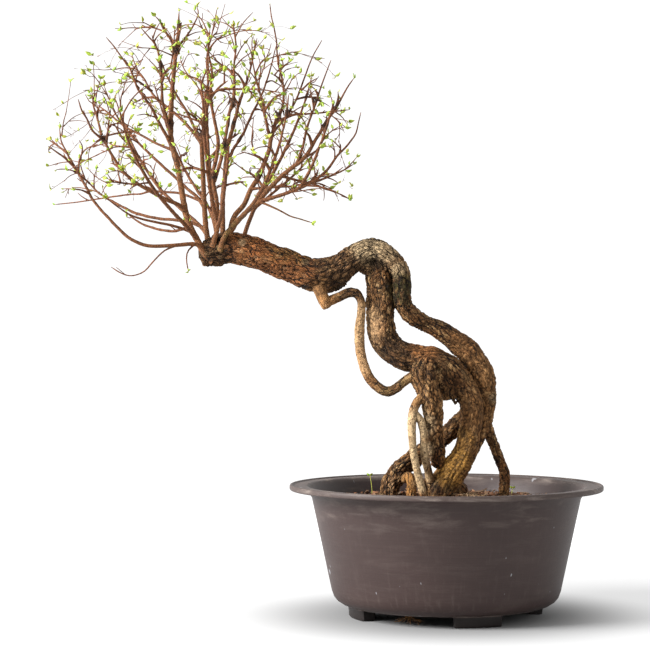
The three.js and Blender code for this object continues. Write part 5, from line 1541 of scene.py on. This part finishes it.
def makeSeedling(shape, material):
    ground = float(soilTop(shape["x"], shape["y"]))
    foot = np.array([shape["x"], shape["y"], ground - 4.0])
    tip = np.array([shape["x"] + shape["lean"], shape["y"], ground + shape["height"]])
    middle = foot + (tip - foot) * 0.55 - np.array([shape["lean"] * 0.3, 0, 0])
    stem = stepsAlong((np.array([foot, middle, tip]), np.array([0.42, 0.38, 0.34])), 1.6)
    whole = tubes("stem", [stem], 1)
    paint(whole, "each", 0.1)
    parts = [whole]
    for side in (-1, 1):
        blade = leafBlade({"width": 0.62, "thickness": 0.07})
        out = unit(np.array([side * shape["spread"], side * 0.8, shape["spread"] * 0.45]))
        size = shape["spread"] * 0.95
        moveVertices(blade, inFrame(tip + (verticesOf(blade) * size) @ aimed(out, 1.2).T))
        paint(blade, "each", 0.75)
        parts.append(blade)
    finished(smoothed(joined(parts)), "young." + shape["name"], material, "young_leaf", shape["name"])


for seedlingShape in seedlingShapes:
    makeSeedling(seedlingShape, leafMaterial)


# Studio: a floor that fades into the surround, white behind and darker in front, with a painted shadow
# under the pot where its glow is left out, and two broad lights
studio = {
    "floor": 60, "floorTone": 0.32, "glowNear": 0.56, "shadowUnderPot": (0.1, 0.24), "farther": (0.3, 0.9),
    "fading": (0.7, 1.6), "behind": 1.1, "left": 0.75, "right": 0.3, "above": 0.6, "key": 165, "fill": 13,
}


# How bright the surround is in one direction, level with the floor
def surroundLevel(shade, way, look):
    side = shade.node("SeparateXYZ", {}, {"Vector": way}, "X").over(-0.7, 0.7)
    back = shade.node("SeparateXYZ", {}, {"Vector": way}, "Y").over(-0.15, 0.35)
    front = side * (look["right"] - look["left"]) + look["left"]
    return front * (1 - back) + back * look["behind"]


def floorLook(look):
    shade = Shade("studioFloor")
    fromPot = shade.spread((1, 1, 1), (-potAxis.x, 0, 0))
    distance = shade.node("VectorMath", {"operation": "LENGTH"}, {0: fromPot}, "Value")
    way = shade.node("VectorMath", {"operation": "NORMALIZE"}, {0: shade.place()})
    far = distance.over(*look["farther"])
    # Painted shadow: the floor's glow is left out right under the pot and rises to full a little way out
    near = distance.over(*look["shadowUnderPot"]) * look["glowNear"]
    shade.feed(shade.surface, {
        "Base Color": (1 - distance.over(*look["fading"])) * look["floorTone"],
        "Roughness": 1.0, "Specular IOR Level": 0.0, "Emission Strength": 1.0,
        "Emission Color": near * (1 - far) + surroundLevel(shade, way, look) * far,
    })
    return shade


bpy.ops.mesh.primitive_plane_add(size=studio["floor"])
floor = bpy.context.object
floor.name = "studioFloor"
floor.data.materials.append(floorLook(studio).material)


def lamp(name, energy, size, place, aim):
    bpy.ops.object.light_add(type="AREA", location=place)
    light = bpy.context.object
    light.name = name
    light.data.energy = energy
    light.data.size = size
    light.rotation_euler = (Vector(aim) - Vector(place)).to_track_quat("-Z", "Y").to_euler()


lamp("keyLight", studio["key"], 1.2, (-2.15, -0.85, 1.3), (0, 0, 0.3))
lamp("fillLight", studio["fill"], 1.2, (1.8, -1.8, 1.0), (0.1, 0, 0.25))


def surround(look):
    shade = Shade("surround", bpy.data.worlds, "Background")
    way = shade.node("TexCoord", {}, {}, "Generated")
    high = shade.node("SeparateXYZ", {}, {"Vector": way}, "Z").over(0.25, 0.9)
    level = surroundLevel(shade, way, look) * (1 - high) + high * look["above"]
    shade.feed(shade.surface, {"Color": (255, 255, 255), "Strength": level})
    return shade.material


bpy.context.scene.world = surround(studio)
bpy.context.scene.view_settings.view_transform = "Standard"
print("studio is set")

bpy.ops.object.select_all(action="DESELECT")
